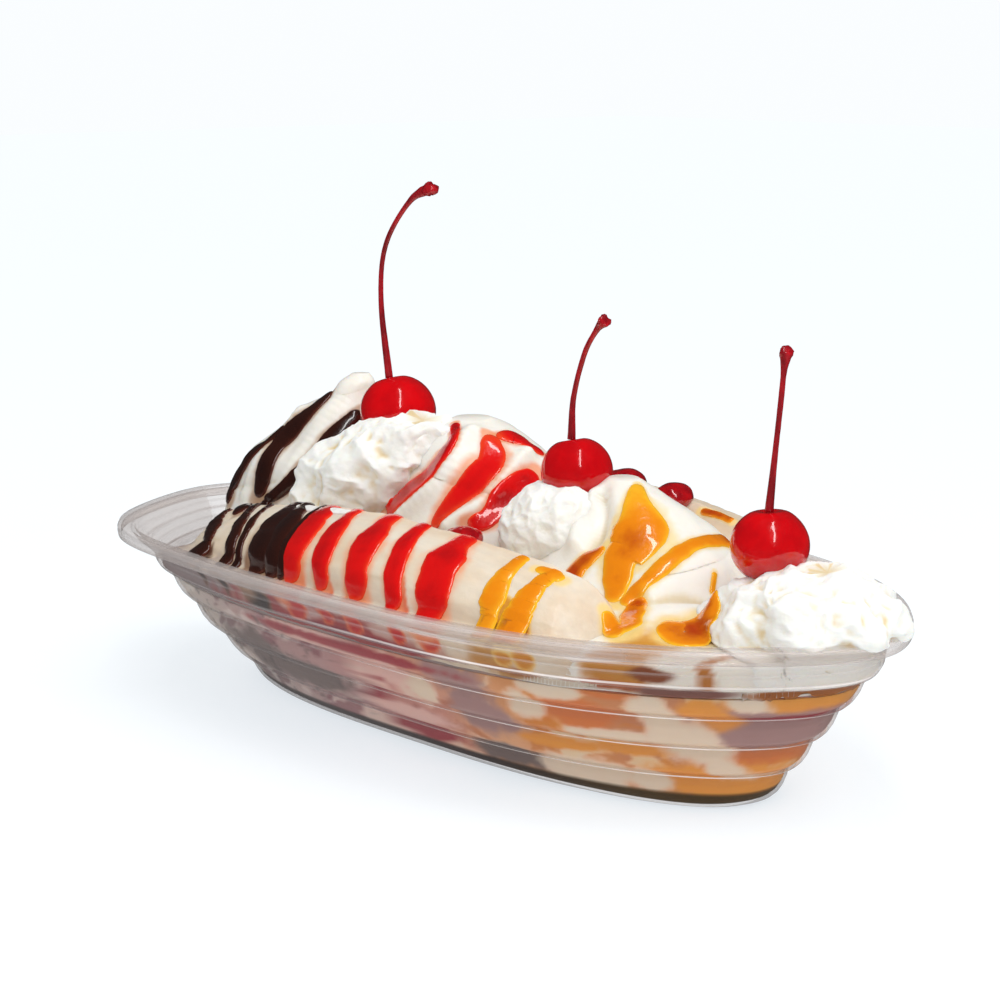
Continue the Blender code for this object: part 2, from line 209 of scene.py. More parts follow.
def store_vector(mesh: bpy.types.Mesh, name: str, vectors: np.ndarray) -> None:
    """Store a vector for each point, for a node tree to read."""
    layer = mesh.attributes.new(name, "FLOAT_VECTOR", "POINT")
    layer.data.foreach_set("vector", np.asarray(vectors, np.float32).ravel())


def add_object(name: str, data: bpy.types.ID, material: bpy.types.Material | None = None) -> bpy.types.Object:
    """Link a new object to the scene, with its material if it has one."""
    obj = bpy.data.objects.new(name, data)
    bpy.context.scene.collection.objects.link(obj)
    if material is not None:
        data.materials.append(material)
    return obj


def show(obj: bpy.types.Object, slot: str, *nodes: str) -> bpy.types.Object:
    """Declare a finished piece to the frame.

    Args:
        obj: The piece.
        slot: Name of a material slot; not used.
        nodes: The CAD nodes that it stands for.

    Returns:
        The same piece.
    """
    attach(obj, BODY)
    if nodes:
        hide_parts(*nodes)
    log.info("%s: %d faces", obj.name, len(obj.data.polygons) if obj.type == "MESH" else 0)
    return obj


# --------------------------------------------------------------------------------------------------------
# Node trees
# --------------------------------------------------------------------------------------------------------


class Value:
    """A node socket that takes part in Python sums: each operator adds a Math node."""

    def __init__(self, graph: "Graph", socket: bpy.types.NodeSocket) -> None:
        """Wrap a socket of a graph."""
        self.graph = graph
        self.socket = socket

    def _math(self, operation: str, *operands: "Value | float", clamp: bool = False) -> "Value":
        """Add a Math node for an operation on these operands."""
        node = self.graph.tree.nodes.new("ShaderNodeMath")
        node.operation = operation
        node.use_clamp = clamp
        for socket, operand in zip(node.inputs, operands):
            self.graph.feed(socket, operand)
        return Value(self.graph, node.outputs[0])

    def __add__(self, other: "Value | float") -> "Value":
        """Sum."""
        return self._math("ADD", self, other)

    __radd__ = __add__

    def __sub__(self, other: "Value | float") -> "Value":
        """Difference."""
        return self._math("SUBTRACT", self, other)

    def __rsub__(self, other: "Value | float") -> "Value":
        """Difference, reflected."""
        return self._math("SUBTRACT", other, self)

    def __mul__(self, other: "Value | float") -> "Value":
        """Product."""
        return self._math("MULTIPLY", self, other)

    __rmul__ = __mul__

    def __truediv__(self, other: "Value | float") -> "Value":
        """Quotient."""
        return self._math("DIVIDE", self, other)

    def __pow__(self, other: "Value | float") -> "Value":
        """Power."""
        return self._math("POWER", self, other)

    def __abs__(self) -> "Value":
        """Size without sign."""
        return self._math("ABSOLUTE", self)

    def floor(self) -> "Value":
        """Whole part."""
        return self._math("FLOOR", self)

    def sine(self) -> "Value":
        """Sine of an angle in radians."""
        return self._math("SINE", self)

    def cosine(self) -> "Value":
        """Cosine of an angle in radians."""
        return self._math("COSINE", self)

    def larger(self, other: "Value | float") -> "Value":
        """The larger of two."""
        return self._math("MAXIMUM", self, other)

    def clamped(self) -> "Value":
        """Held between 0 and 1."""
        return self._math("ADD", self, 0.0, clamp=True)

    def ramp(self, low: float, high: float) -> "Value":
        """Smooth ramp from 0 at low to 1 at high."""
        settings = {"interpolation_type": "SMOOTHSTEP"}
        inputs = {"Value": self, "From Min": low, "From Max": high}
        return self.graph.out("ShaderNodeMapRange", "Result", settings, inputs)


class Graph:
    """A shader or geometry node tree under construction."""

    def __init__(self, tree: bpy.types.NodeTree) -> None:
        """Wrap an empty node tree."""
        self.tree = tree

    def feed(self, socket: bpy.types.NodeSocket, value: object) -> None:
        """Give a socket a link or a plain value."""
        if isinstance(value, Value):
            self.tree.links.new(value.socket, socket)
        elif isinstance(value, bpy.types.NodeSocket):
            self.tree.links.new(value, socket)
        else:
            socket.default_value = value

    def node(self, kind: str, settings: dict | None = None, inputs: dict | None = None) -> bpy.types.Node:
        """Add a node.

        Args:
            kind: The node's type.
            settings: Its properties, set first.
            inputs: Values or links of its sockets, by name or by number.

        Returns:
            The node.
        """
        made = self.tree.nodes.new(kind)
        for name, value in (settings or {}).items():
            setattr(made, name, value)
        for name, value in (inputs or {}).items():
            self.feed(made.inputs[name], value)
        return made

    def out(
        self, kind: str, output: str | int, settings: dict | None = None, inputs: dict | None = None
    ) -> Value:
        """Add a node and return one of its outputs as a value."""
        return Value(self, self.node(kind, settings, inputs).outputs[output])

    def attribute(self, name: str, output: str = "Fac") -> Value:
        """Read a mesh attribute in a material."""
        return self.out("ShaderNodeAttribute", output, {"attribute_name": name})

    def place(self) -> Value:
        """Object coordinates, in metres."""
        return self.out("ShaderNodeTexCoord", "Object")

    def grain(
        self, size: float, detail: float = 3.0, roughness: float = 0.55, stretch: Point = (1, 1, 1)
    ) -> Value:
        """Noise of 0 to 1 on Object coordinates.

        Args:
            size: Size of the largest spots in millimetres.
            detail: Octaves.
            roughness: Strength of the finer octaves.
            stretch: Scale of the pattern along each axis.

        Returns:
            The noise.
        """
        mapped = self.out("ShaderNodeMapping", "Vector", None, {"Vector": self.place(), "Scale": stretch})
        inputs = {"Vector": mapped, "Scale": 1 / (size * MM), "Detail": detail, "Roughness": roughness}
        return self.out("ShaderNodeTexNoise", 0, None, inputs)

    def mix(self, share: "Value | float", first: object, second: object, how: str = "MIX") -> Value:
        """Mix two colours."""
        node = self.node("ShaderNodeMix", {"data_type": "RGBA", "blend_type": how})
        for socket, value in ((node.inputs[0], share), (node.inputs[6], first), (node.inputs[7], second)):
            self.feed(socket, (*value, 1.0) if isinstance(value, tuple) and len(value) == 3 else value)
        return Value(self, node.outputs[2])

    def bump(self, height: Value, distance: float, strength: float = 1.0) -> Value:
        """Bump normal from a height of 0 to 1 over a distance in millimetres."""
        inputs = {"Height": height, "Distance": distance * MM, "Strength": strength}
        return self.out("ShaderNodeBump", "Normal", None, inputs)


@dataclass(frozen=True)
class Finish:
    """A surface finish that becomes one material."""

    name: str

    def material(self) -> bpy.types.Material:
        """Make the material."""
        made = bpy.data.materials.new(self.name)
        made.use_nodes = True
        made.node_tree.nodes.clear()
        graph = Graph(made.node_tree)
        surface = self.surface(graph)
        graph.node("ShaderNodeOutputMaterial", None, {"Surface": surface})
        return made

    def surface(self, graph: Graph) -> Value:
        """Build the shader; each finish has its own."""
        raise NotImplementedError


def principled(graph: Graph, **sockets: object) -> Value:
    """Add a Principled shader whose sockets are named with underscores for spaces."""
    inputs = {name.replace("_", " "): value for name, value in sockets.items()}
    if isinstance(inputs.get("Base Color"), tuple) and len(inputs["Base Color"]) == 3:
        inputs["Base Color"] = (*inputs["Base Color"], 1.0)
    return graph.out("ShaderNodeBsdfPrincipled", "BSDF", None, inputs)


@dataclass(frozen=True)
class ClearPlastic(Finish):
    """Thin clear plastic with a faint tint, whose corners show as painted highlights, pale glowing lines,
    over painted dark reflection lines.
    """

    tint: Colour = (0.935, 0.915, 0.905)
    haze: float = 0.012
    left_haze: float = 0.08  # how much more grey haze there is at the dim left end, painted shade
    # Heights of the corners, and the strength of the painted lines there
    corners: tuple[tuple[float, float], ...] = (
        (8.2, 0.80),
        (15.7, 0.80),
        (23.2, 0.80),
        (31.4, 0.95),
        (33.9, 0.30),
        (35.9, 0.55),
        (37.6, 0.25),
        (39.4, 0.35),
    )
    half_line: float = 0.15
    drop: float = 0.45
    bright_from: float = -35.0  # the corners' painted light is dim left of here and bright right of the next
    bright_to: float = 45.0
    gloss: float = 0.40
    scratches: float = 0.03
    waver: float = 0.3  # how much the heights of the lines vary
    edge_width: float = 2.6  # where a line has faded out, in half widths
    colour: Colour = (0.62, 0.58, 0.56)
    # Colour of the painted dark reflection lines
    dark_reflection_colour: Colour = (0.10, 0.05, 0.05)
    # Painted glow: faint over all the plastic, bright on the painted highlight lines
    glow: Colour = (0.06, 0.055, 0.055)
    highlight_glow: Colour = (0.62, 0.56, 0.53)

    def surface(self, graph: Graph) -> Value:
        """Mix a see-through shader with a glossy one, more of it at grazing angles and on the corners, where
        highlights and dark reflections are painted.
        """
        height = graph.out("ShaderNodeSeparateXYZ", 2, None, {0: graph.place()}) / MM
        along = graph.out("ShaderNodeSeparateXYZ", 0, None, {0: graph.place()}) / MM
        # Painted light along the boat: the corner lines are dim at the left end and bright at the right.
        lit = along.ramp(self.bright_from, self.bright_to)
        waver = (graph.grain(14.0, 1.0) - 0.5) * self.waver
        # Pale lines are painted highlights; the dark lines just under them are painted dark reflections.
        pale = self._lines(height + waver)
        dark = self._lines(height + waver + self.drop)
        broken = graph.grain(26.0, 3.0, 0.6).ramp(0.30, 0.62)
        pale = pale * (0.10 + lit * 0.75) * (0.55 + broken * 0.45)
        dark = dark * (0.60 - lit * 0.38) * (0.55 + broken * 0.45)
        scratch = graph.grain(7.0, 3.0, 0.6, (0.12, 1, 3.5)).ramp(0.62, 0.76)
        fresnel = graph.out("ShaderNodeFresnel", "Fac", None, {"IOR": 1.46})
        # More grey haze at the dim left end, painted shade.
        haze = self.haze + (1 - lit) * self.left_haze
        share = (fresnel * self.gloss + pale + dark + scratch * self.scratches + haze).clamped()
        plastic = principled(
            graph,
            Base_Color=graph.mix(dark, self.colour, self.dark_reflection_colour),
            Roughness=0.15,
            Specular_IOR_Level=0.3,
            Coat_Weight=0.6,
            Coat_Roughness=0.03,
            # Painted glow, faint over the plastic and bright on the painted highlight lines.
            Emission_Color=graph.mix(pale, self.glow, self.highlight_glow),
            Emission_Strength=1.0,
            Normal=graph.bump(graph.grain(6.0, 2.0, 0.5, (0.3, 1, 2.0)), 0.03),
        )
        clear = graph.out("ShaderNodeBsdfTransparent", "BSDF", None, {"Color": (*self.tint, 1.0)})
        return graph.out("ShaderNodeMixShader", "Shader", None, {0: share, 1: clear, 2: plastic})

    def _lines(self, height: Value) -> Value:
        """Soft thin lines at the corners' heights, for the painted highlights and dark reflections."""
        total = height * 0.0
        for level, strength in self.corners:
            faded = abs(height - level).ramp(self.half_line, self.half_line * self.edge_width)
            total = total + (1 - faded) * strength
        return total


@dataclass(frozen=True)
class Painted(Finish):
    """Food whose colour is stored on its mesh, with its own gloss, grain and softness."""

    roughness: float = 0.45
    grain_size: float = 1.6
    grain_height: float = 0.12
    softness: float = 0.25
    soft_radius: Colour = (0.004, 0.003, 0.002)
    coat: float = 0.15
    mottle: float = 0.10

    def surface(self, graph: Graph) -> Value:
        """Read the stored colour, and add a fine mottle, bump and uneven gloss."""
        colour = graph.attribute("tone", "Color")
        spots = graph.grain(self.grain_size * 2.5, 4.0, 0.6)
        shade = graph.mix(spots.ramp(0.45, 0.75) * self.mottle, colour, (0.78, 0.72, 0.66), "MULTIPLY")
        return principled(
            graph,
            Base_Color=shade,
            Roughness=self.roughness + (spots - 0.5) * 0.2,
            Subsurface_Weight=self.softness,
            Subsurface_Radius=self.soft_radius,
            Subsurface_Scale=1.0,
            Coat_Weight=self.coat,
            Coat_Roughness=0.15,
            Normal=graph.bump(graph.grain(self.grain_size), self.grain_height),
        )


# --------------------------------------------------------------------------------------------------------
# The boat
# --------------------------------------------------------------------------------------------------------


@dataclass
class Boat:
    """The clear plastic boat: tiers that step out as they rise, a collar, a lip and a fuller left end."""

    foot: Point = (78.8, 21.6, 0.0)  # reach, half width and height of a ring
    tiers: int = 4
    tier_rise: float = 7.5
    reach_step: float = 6.2
    width_step: float = 7.6
    width_ease: float = 0.33
    collar: Point = (107.6, 50.4, 33.4)
    rim: Point = (109.6, 54.0, 39.0)
    lip: Point = (112.8, 55.2, 39.6)
    lip_drop: float = 2.3
    lip_shift: float = -0.3
    fullness: float = 0.055  # how much fuller the left end is at its corners than the right end
    flare: float = 0.035  # how much more than that the lip flares out there
    corner: float = 0.71  # where the fuller corners are, as a share of the reach
    corner_spread: float = 0.21
    full_between: tuple[float, float] = (-2.0, 20.0)  # heights between which the fullness sets in
    flare_between: tuple[float, float] = (33.4, 38.0)
    free_between: tuple[float, float] = (36.5, 38.5)  # heights between which food stops reaching for the wall
    draw_before: float = 0.06
    draw_past: float = 0.03
    wall: float = 0.9
    side_power: float = 3.0
    tip_power: float = 1.35
    tip_radius: float = 13.0
    ring_points: int = 240
    shares: np.ndarray = field(init=False)
    heights: np.ndarray = field(init=False)

    # Shares of the rise and then of the way out, for each ring of a tier and of the collar.
    TIER_SHAPE = ((0.0, 0.0), (0.04, 0.24), (0.10, 0.44), (0.22, 0.62), (0.40, 0.78), (0.66, 0.93))
    COLLAR_SHAPE = ((0.0, 0.0), (0.06, 0.45), (0.2, 0.8), (0.5, 0.96), (1.0, 1.0))
    RIM_SHARES = (0.35, 0.7, 0.9, 1.0)
    # Shares of the way out, of the rise and of the lip's shift.
    LIP_SHAPE = ((0.05, 0.55, 0.05), (0.3, 0.9, 0.3), (0.7, 1.0, 0.7), (0.92, 0.8, 0.92))
    LIP_DROPS = (0.25, 0.6, 1.0)
    FOOT_SHARES = (0.3, 0.7, 0.97)
    ANGLES = 361
    RING_BIAS = 1.9  # a larger bias puts more of a ring's points on the long sides
    HALVINGS = 40  # steps of the search for a ring's points

    def __post_init__(self) -> None:
        """Work out how far the wall is in each direction at each height, for pieces that press against it."""
        self.heights = np.linspace(1.0, self.rim[2], 39)
        self.shares = np.array([self._far_by_angle(height) for height in self.heights])

    def tier(self, k: int) -> Point:
        """The notch under tier k, counted from the foot."""
        reach, half_width, height = self.foot
        return (
            reach + self.reach_step * k,
            half_width + self.width_step * k - self.width_ease * k * k,
            height + self.tier_rise * k,
        )

    def profile(self) -> list[Point]:
        """Rings of the wall's outside from foot to rim, each tier with a ledge, a rounded edge and a wall."""
        rings = []
        for k in range(self.tiers):
            low, high = np.array(self.tier(k)), np.array(self.tier(k + 1))
            for rise, out in self.TIER_SHAPE:
                rings.append(tuple(low + (high - low) * (out, out, rise)))
        top, collar, rim = (np.array(ring) for ring in (self.tier(self.tiers), self.collar, self.rim))
        for rise, out in self.COLLAR_SHAPE:
            rings.append(tuple(top + (collar - top) * (out, out, rise)))
        for share in self.RIM_SHARES:
            rings.append(tuple(collar + (rim - collar) * (share, share, share)))
        return rings

    def outline(self, reach: float, half_width: float, count: int) -> np.ndarray:
        """The boat's plan at one ring: a superellipse widened by a round tip, counter-clockwise from above.

        Args:
            reach: Half length of the ring.
            half_width: Half width of the ring.
            count: Number of points.

        Returns:
            Points of shape (count, 2).
        """
        tip = min(self.tip_radius, 0.9 * half_width)
        a, b = reach - tip, half_width - tip
        turn = 2 * np.pi * np.arange(count) / count
        facing = np.stack([np.cos(turn), self.RING_BIAS * np.sin(turn)], axis=1)
        facing /= np.linalg.norm(facing, axis=1)[:, None]
        nx, ny = np.abs(facing).T
        low, high = np.zeros(count), np.ones(count)
        for _ in range(self.HALVINGS):
            u = (low + high) / 2
            v = (1 - u**self.side_power) ** (1 / self.tip_power)
            past = self.side_power * u ** (self.side_power - 1) / a * ny > (
                self.tip_power * v ** (self.tip_power - 1) / b * nx
            )
            high, low = np.where(past, u, high), np.where(past, low, u)
        core = np.stack([a * low, b * (1 - low**self.side_power) ** (1 / self.tip_power)], axis=1)
        return np.copysign(core, facing) + tip * facing

    def fill_out(self, flat: np.ndarray, reach: float, height: float | np.ndarray) -> np.ndarray:
        """Push the corners of a ring's left end out, more so towards the lip."""
        near_corner = np.exp(-(((-flat[:, 0] / reach - self.corner) / self.corner_spread) ** 2))
        height = np.asarray(height)
        push = self.fullness * smoothstep(*self.full_between, height)
        push = push + self.flare * smoothstep(*self.flare_between, height)
        return flat * (1 + push * near_corner)[:, None]

    def ring(self, section: Point, count: int, inset: float = 0.0, shift: float = 0.0) -> np.ndarray:
        """A ring of points at a section, moved in by an inset and along by a shift."""
        reach, half_width, height = section
        flat = self.fill_out(self.outline(reach - inset, half_width - inset, count), reach, height)
        return np.column_stack([flat[:, 0] + shift, flat[:, 1], np.full(count, height)])

    def section_at(self, height: float) -> tuple[float, float]:
        """Reach and half width of the wall's outside at a height."""
        reach, half_width, heights = np.array(self.profile()).T
        return float(np.interp(height, heights, reach)), float(np.interp(height, heights, half_width))

    def _far_by_angle(self, height: float) -> np.ndarray:
        """How far the inner wall is, as a share of the plain ellipse, for evenly spaced angles."""
        reach, half_width = self.section_at(height)
        inset = self.wall * 0.6
        flat = self.fill_out(self.outline(reach - inset, half_width - inset, 720), reach, height)
        angle = np.arctan2(flat[:, 1] / half_width, flat[:, 0] / reach)
        far = np.hypot(flat[:, 0] / reach, flat[:, 1] / half_width)
        return np.interp(np.linspace(-np.pi, np.pi, self.ANGLES), angle, far, period=2 * np.pi)

    def wall_share(self, points: np.ndarray) -> np.ndarray:
        """How far out each point is, from 0 on the boat's axis to 1 on the inner face of its wall."""
        z = np.clip(points[:, 2], self.heights[0], self.heights[-1])
        reach, half_width, heights = np.array(self.profile()).T
        across = points[:, 1] / np.interp(z, heights, half_width)
        along = points[:, 0] / np.interp(z, heights, reach)
        level = np.interp(z, self.heights, np.arange(len(self.heights)))
        low = np.minimum(level.astype(int), len(self.heights) - 2)
        angles = np.linspace(-np.pi, np.pi, self.ANGLES)
        turn = np.interp(np.arctan2(across, along), angles, np.arange(self.ANGLES))
        left = np.minimum(turn.astype(int), self.ANGLES - 2)
        up, round_ = level - low, turn - left
        far = (
            self.shares[low, left] * (1 - up) * (1 - round_)
            + self.shares[low + 1, left] * up * (1 - round_)
            + self.shares[low, left + 1] * (1 - up) * round_
            + self.shares[low + 1, left + 1] * up * round_
        )
        return np.hypot(across, along) / far

    def press(self, points: np.ndarray, reach_out: float = 0.90) -> np.ndarray:
        """Press food against the inside of the wall.

        Args:
            points: Millimetre places, shape (n, 3).
            reach_out: The share of the way to the wall from which food is drawn out to it.

        Returns:
            The places, with those near or past the wall on its inner face.
        """
        share, height = self.wall_share(points), points[:, 2]
        drawn = smoothstep(reach_out - self.draw_before, reach_out + self.draw_past, share)
        drawn = drawn * (1 - smoothstep(*self.free_between, height))
        held = np.maximum(drawn, (share > 1.0) * (height < self.rim[2]))
        target = share + (1.0 - share) * held
        scale = target / np.maximum(share, 1e-6)
        return points * np.column_stack([scale, scale, np.ones(len(points))])

    def build(self) -> bpy.types.Object:
        """Make the boat: its outside as rings from the middle of the foot to the lip, then a wall inwards."""
        count = self.ring_points
        foot = self.profile()[0]
        rings = [self.ring((foot[0] * share, foot[1] * share, 0.0), count) for share in self.FOOT_SHARES]
        rings += [self.ring(section, count) for section in self.profile()]
        rim, lip = np.array(self.rim), np.array(self.lip)
        for out, rise, shift in self.LIP_SHAPE:
            section = rim + (lip - rim) * (out, out, rise)
            rings.append(self.ring(tuple(section), count, shift=self.lip_shift * shift))
        for drop in self.LIP_DROPS:
            section = (lip[0], lip[1], lip[2] - self.lip_drop * drop)
            rings.append(self.ring(section, count, shift=self.lip_shift))
        mesh = loft("boat", np.array(rings), last_cap=False)
        obj = add_object("boat", mesh, ClearPlastic("clear_plastic").material())
        shell = obj.modifiers.new("wall", "SOLIDIFY")
        shell.thickness = self.wall * MM
        shell.offset = -1.0
        shell.use_even_offset = True
        return show(obj, "clear_plastic", "dish")


# --------------------------------------------------------------------------------------------------------
# Camera, light and floor
# --------------------------------------------------------------------------------------------------------


@dataclass
class Studio:
    """The pale floor, the soft lights and the camera."""

    camera_place: Point = (412.55, -366.30, 156.81)
    camera_target: Point = (29.76, -25.46, 60.0)
    lens: float = 89.15
    floor_size: float = 6.0
    backdrop: Colour = (0.96, 0.985, 1.0)
    fill: float = 0.60
    mirrored: float = 0.03
    key: float = 1.0
    key_angle: float = 35.0
    key_place: Point = (700, 250, 1100)
    strip_place: Point = (290, -226, 572)
    strip_target: Point = (20, 0, 50)
    strip_size: tuple[float, float] = (60, 800)
    strip_watts: float = 1.8
    floor_colour: Colour = (0.32, 0.32, 0.31)
    floor_glow: Colour = (0.68, 0.72, 0.76)

    def build(self) -> None:
        """Make everything that isn't part of the object."""
        self._floor()
        self._world()
        self._lights()
        self._camera()
        bpy.context.scene.view_settings.view_transform = "Standard"

    def _floor(self) -> None:
        """Lay a pale floor."""
        half = self.floor_size / 2
        mesh = bpy.data.meshes.new("floor")
        corners = [(-half, -half, 0), (half, -half, 0), (half, half, 0), (-half, half, 0)]
        mesh.from_pydata(corners, [], [(0, 1, 2, 3)])
        finish = bpy.data.materials.new("floor")
        finish.use_nodes = True
        shader = finish.node_tree.nodes["Principled BSDF"]
        shader.inputs["Base Color"].default_value = (*self.floor_colour, 1)
        shader.inputs["Roughness"].default_value = 1.0
        shader.inputs["Specular IOR Level"].default_value = 0.0
        shader.inputs["Emission Color"].default_value = (*self.floor_glow, 1)
        shader.inputs["Emission Strength"].default_value = 1.0
        floor = add_object("floor", mesh, finish)
        floor.visible_glossy = False

    def _world(self) -> None:
        """Surround the set with even light, which is dim in reflections and bright behind the set."""
        world = bpy.data.worlds.new("studio")
        bpy.context.scene.world = world
        world.use_nodes = True
        world.node_tree.nodes.clear()
        graph = Graph(world.node_tree)
        rays = graph.node("ShaderNodeLightPath").outputs
        seen, mirrored = Value(graph, rays["Is Camera Ray"]), Value(graph, rays["Is Glossy Ray"])
        strength = self.fill + seen * (1 - self.fill) - mirrored * (self.fill - self.mirrored)
        colour = (*self.backdrop, 1)
        background = graph.out("ShaderNodeBackground", 0, None, {"Color": colour, "Strength": strength})
        graph.node("ShaderNodeOutputWorld", None, {"Surface": background})

    def _lights(self) -> None:
        """Light it from the right and above, with a narrow box that draws streaks on what is glossy."""
        sun = bpy.data.lights.new("key", "SUN")
        sun.energy = self.key
        sun.angle = math.radians(self.key_angle)
        lamp = add_object("key", sun)
        lamp.visible_glossy = False
        self._aim(lamp, self.key_place, (0, 0, 0))
        self._box("strip", self.strip_place, self.strip_target, self.strip_size, self.strip_watts)

    def _box(self, name: str, place: Point, target: Point, size: tuple[float, float], watts: float) -> None:
        """Hang one rectangular light, aimed at a point."""
        light = bpy.data.lights.new(name, "AREA")
        light.shape = "RECTANGLE"
        light.size, light.size_y = (side * MM for side in size)
        light.energy = watts
        self._aim(add_object(name, light), place, target)

    @staticmethod
    def _aim(obj: bpy.types.Object, place: Point, target: Point) -> None:
        """Put a lamp somewhere and turn it to a point."""
        obj.location = Vector(place) * MM
        obj.rotation_euler = (Vector(target) - Vector(place)).to_track_quat("-Z", "Y").to_euler()

    def _camera(self) -> None:
        """Set up the camera, a little above the boat and off its caramel end."""
        shift = Vector((TO_MIDDLE, 0, 0))
        place, target = Vector(self.camera_place) + shift, Vector(self.camera_target) + shift
        camera = bpy.data.cameras.new("camera")
        camera.lens = self.lens
        camera.sensor_width = 36.0
        camera.clip_start = 0.05
        obj = add_object("camera", camera)
        obj.location = place * MM
        obj.rotation_euler = (target - place).to_track_quat("-Z", "Y").to_euler()
        bpy.context.scene.camera = obj


# --------------------------------------------------------------------------------------------------------
# Food
# --------------------------------------------------------------------------------------------------------


def near_path(points: np.ndarray, path: Sequence[Sequence[float]], steps: int = 8) -> np.ndarray:
    """Distance of each point from a path, counted in the path's half widths.

    Args:
        points: Millimetre places, shape (n, 3).
        path: Rows of x, y, z and half width.
        steps: Pieces that each stretch between two rows is cut into.

    Returns:
        One distance for each point.
    """
    line = catmull_rom(path, (len(path) - 1) * steps + 1)
    nearest = np.full(len(points), 1e9)
    for x, y, z, width in line:
        nearest = np.minimum(nearest, np.linalg.norm(points - (x, y, z), axis=1) / width)
    return nearest


def hollows(mesh: bpy.types.Mesh, rounds: int = 10) -> np.ndarray:
    """How deep each point lies below its surroundings, in millimetres, and negative on a crest."""
    count = len(mesh.vertices)
    ends = np.empty(len(mesh.edges) * 2, np.int64)
    mesh.edges.foreach_get("vertices", ends)
    a, b = ends.reshape(-1, 2).T
    degree = np.maximum(np.bincount(np.r_[a, b], minlength=count), 1)
    start = points_of(mesh)
    smooth = start.copy()
    for _ in range(rounds):
        sums = [np.bincount(np.r_[a, b], np.r_[smooth[b, k], smooth[a, k]], count) for k in range(3)]
        smooth = 0.5 * smooth + 0.5 * np.stack(sums, axis=1) / degree[:, None]
    return ((smooth - start) * normals_of(mesh)).sum(axis=1)


@dataclass(frozen=True)
class Fold:
    """A swelling, or with a negative depth a crease, that runs along a path over a mound."""

    depth: float
    path: tuple[tuple[float, ...], ...]


@dataclass(frozen=True)
class Stain:
    """A stripe of sauce that has soaked into the food along a path of x, y, z and half width."""

    colour: Colour
    edge: Colour
    path: tuple[tuple[float, ...], ...]
    reach: float = 1.0
    softness: float = 0.15
    strength: float = 1.0

    def paint(self, points: np.ndarray, tones: np.ndarray) -> np.ndarray:
        """Lay the stripe over the points' colours."""
        rows = np.array([row[:4] for row in self.path])
        margin = 2 * self.reach * rows[:, 3].max()
        low, high = rows[:, :3].min(axis=0) - margin, rows[:, :3].max(axis=0) + margin
        near = ((points > low) & (points < high)).all(axis=1)
        if not near.any():
            return tones
        gap = near_path(points[near], rows) / self.reach + 0.22 * wobble(points[near], 5.0, 3.0)
        soaked = self.strength * (1 - smoothstep(1 - self.softness, 1 + self.softness, gap))[:, None]
        middle = (1 - smoothstep(0.55, 0.95, gap))[:, None]
        stripe = np.array(self.edge) * (1 - middle) + np.array(self.colour) * middle
        made = tones.copy()
        made[near] = tones[near] * (1 - soaked) + stripe * soaked
        return made


@dataclass(frozen=True)
class Patch:
    """A soft patch of colour in what shows through the wall, at a place along the boat and a height."""

    colour: Colour
    x: float
    z: float
    reach: float
    rise: float
    edge: float = 0.30

    def paint(self, points: np.ndarray, tones: np.ndarray) -> np.ndarray:
        """Lay the patch over the points' colours."""
        gap = np.hypot((points[:, 0] - self.x) / self.reach, (points[:, 2] - self.z) / self.rise)
        near = gap < 1.8
        uneven = np.zeros(len(points))
        uneven[near] = 0.30 * wobble(points[near], 6.0, 1.5 + self.x) + 0.10 * wobble(points[near], 1.8, 5.5)
        share = (1 - smoothstep(1 - self.edge, 1 + self.edge, gap + uneven))[:, None]
        return tones * (1 - share) + np.array(self.colour) * share


@dataclass
class Mound:
    """A soft heap given by elliptical sections, with folds over it."""

    name: str
    sections: tuple[tuple[float, ...], ...]
    folds: tuple[Fold, ...] = ()
    stains: tuple[Stain, ...] = ()
    patches: tuple[Patch, ...] = ()
    levels: int = 150
    around: int = 240
    crest: Colour = (0.90, 0.86, 0.78)
    # Painted shade in the creases, full at the given depth in millimetres
    crease_shade: Colour = (0.74, 0.62, 0.42)
    crease_shade_depth: float = 0.5
    pressed: bool = False

    def outline(self, rise: np.ndarray, angle: np.ndarray) -> np.ndarray:
        """Factor on the section's radii at each share of the rise and angle."""
        return np.ones_like(angle) * (1 + 0 * rise)

    def relief(self, points: np.ndarray) -> np.ndarray:
        """Millimetres by which each point swells."""
        return 0.5 * wobble(points, 16.0, 1.0)

    def mesh(self, boat: Boat) -> bpy.types.Mesh:
        """Build the heap, pressed against the boat's wall where it is asked to be."""
        rows = catmull_rom(self.sections, self.levels)
        angle = (2 * np.pi * np.arange(self.around) / self.around)[None, :]
        rise = np.linspace(0, 1, self.levels)[:, None]
        z, cx, cy, rx, ry = (rows[:, k][:, None] for k in range(5))
        factor = self.outline(rise, angle)
        rings = np.stack(
            [cx + rx * factor * np.cos(angle), cy + ry * factor * np.sin(angle), z + 0 * angle], axis=2
        )
        mesh = loft(self.name, rings)
        swell(mesh, self.relief(points_of(mesh)))
        for fold in self.folds:
            gap = near_path(points_of(mesh), fold.path)
            swell(mesh, fold.depth * np.exp(-(gap**2)))
        if self.pressed:
            move_points(mesh, boat.press(points_of(mesh)))
        return mesh

    def paint(self, mesh: bpy.types.Mesh, films: Sequence[Stain]) -> None:
        """Paint shade into the hollows over the crests' own colour, then the stains and the films of sauce.
        """
        points = points_of(mesh)
        # Painted shade: the deeper a point lies in a crease, the more of the shade colour it takes.
        deep = smoothstep(0.0, 1.0, hollows(mesh, 24) / self.crease_shade_depth)[:, None]
        tones = np.array(self.crest) * (1 - deep) + np.array(self.crease_shade) * deep
        tones = tones * (1 + 0.03 * wobble(points, 9.0, 5.0))[:, None]
        for layer in (*self.patches, *self.stains, *films):
            tones = layer.paint(points, tones)
        store_colour(mesh, "tone", tones)

    def build(
        self, boat: Boat, slot: str, material: bpy.types.Material, films: Sequence[Stain]
    ) -> bpy.types.Object:
        mesh = self.mesh(boat)
        self.paint(mesh, films)
        return show(add_object(f"{self.name}_shape", mesh, material), slot, self.name)


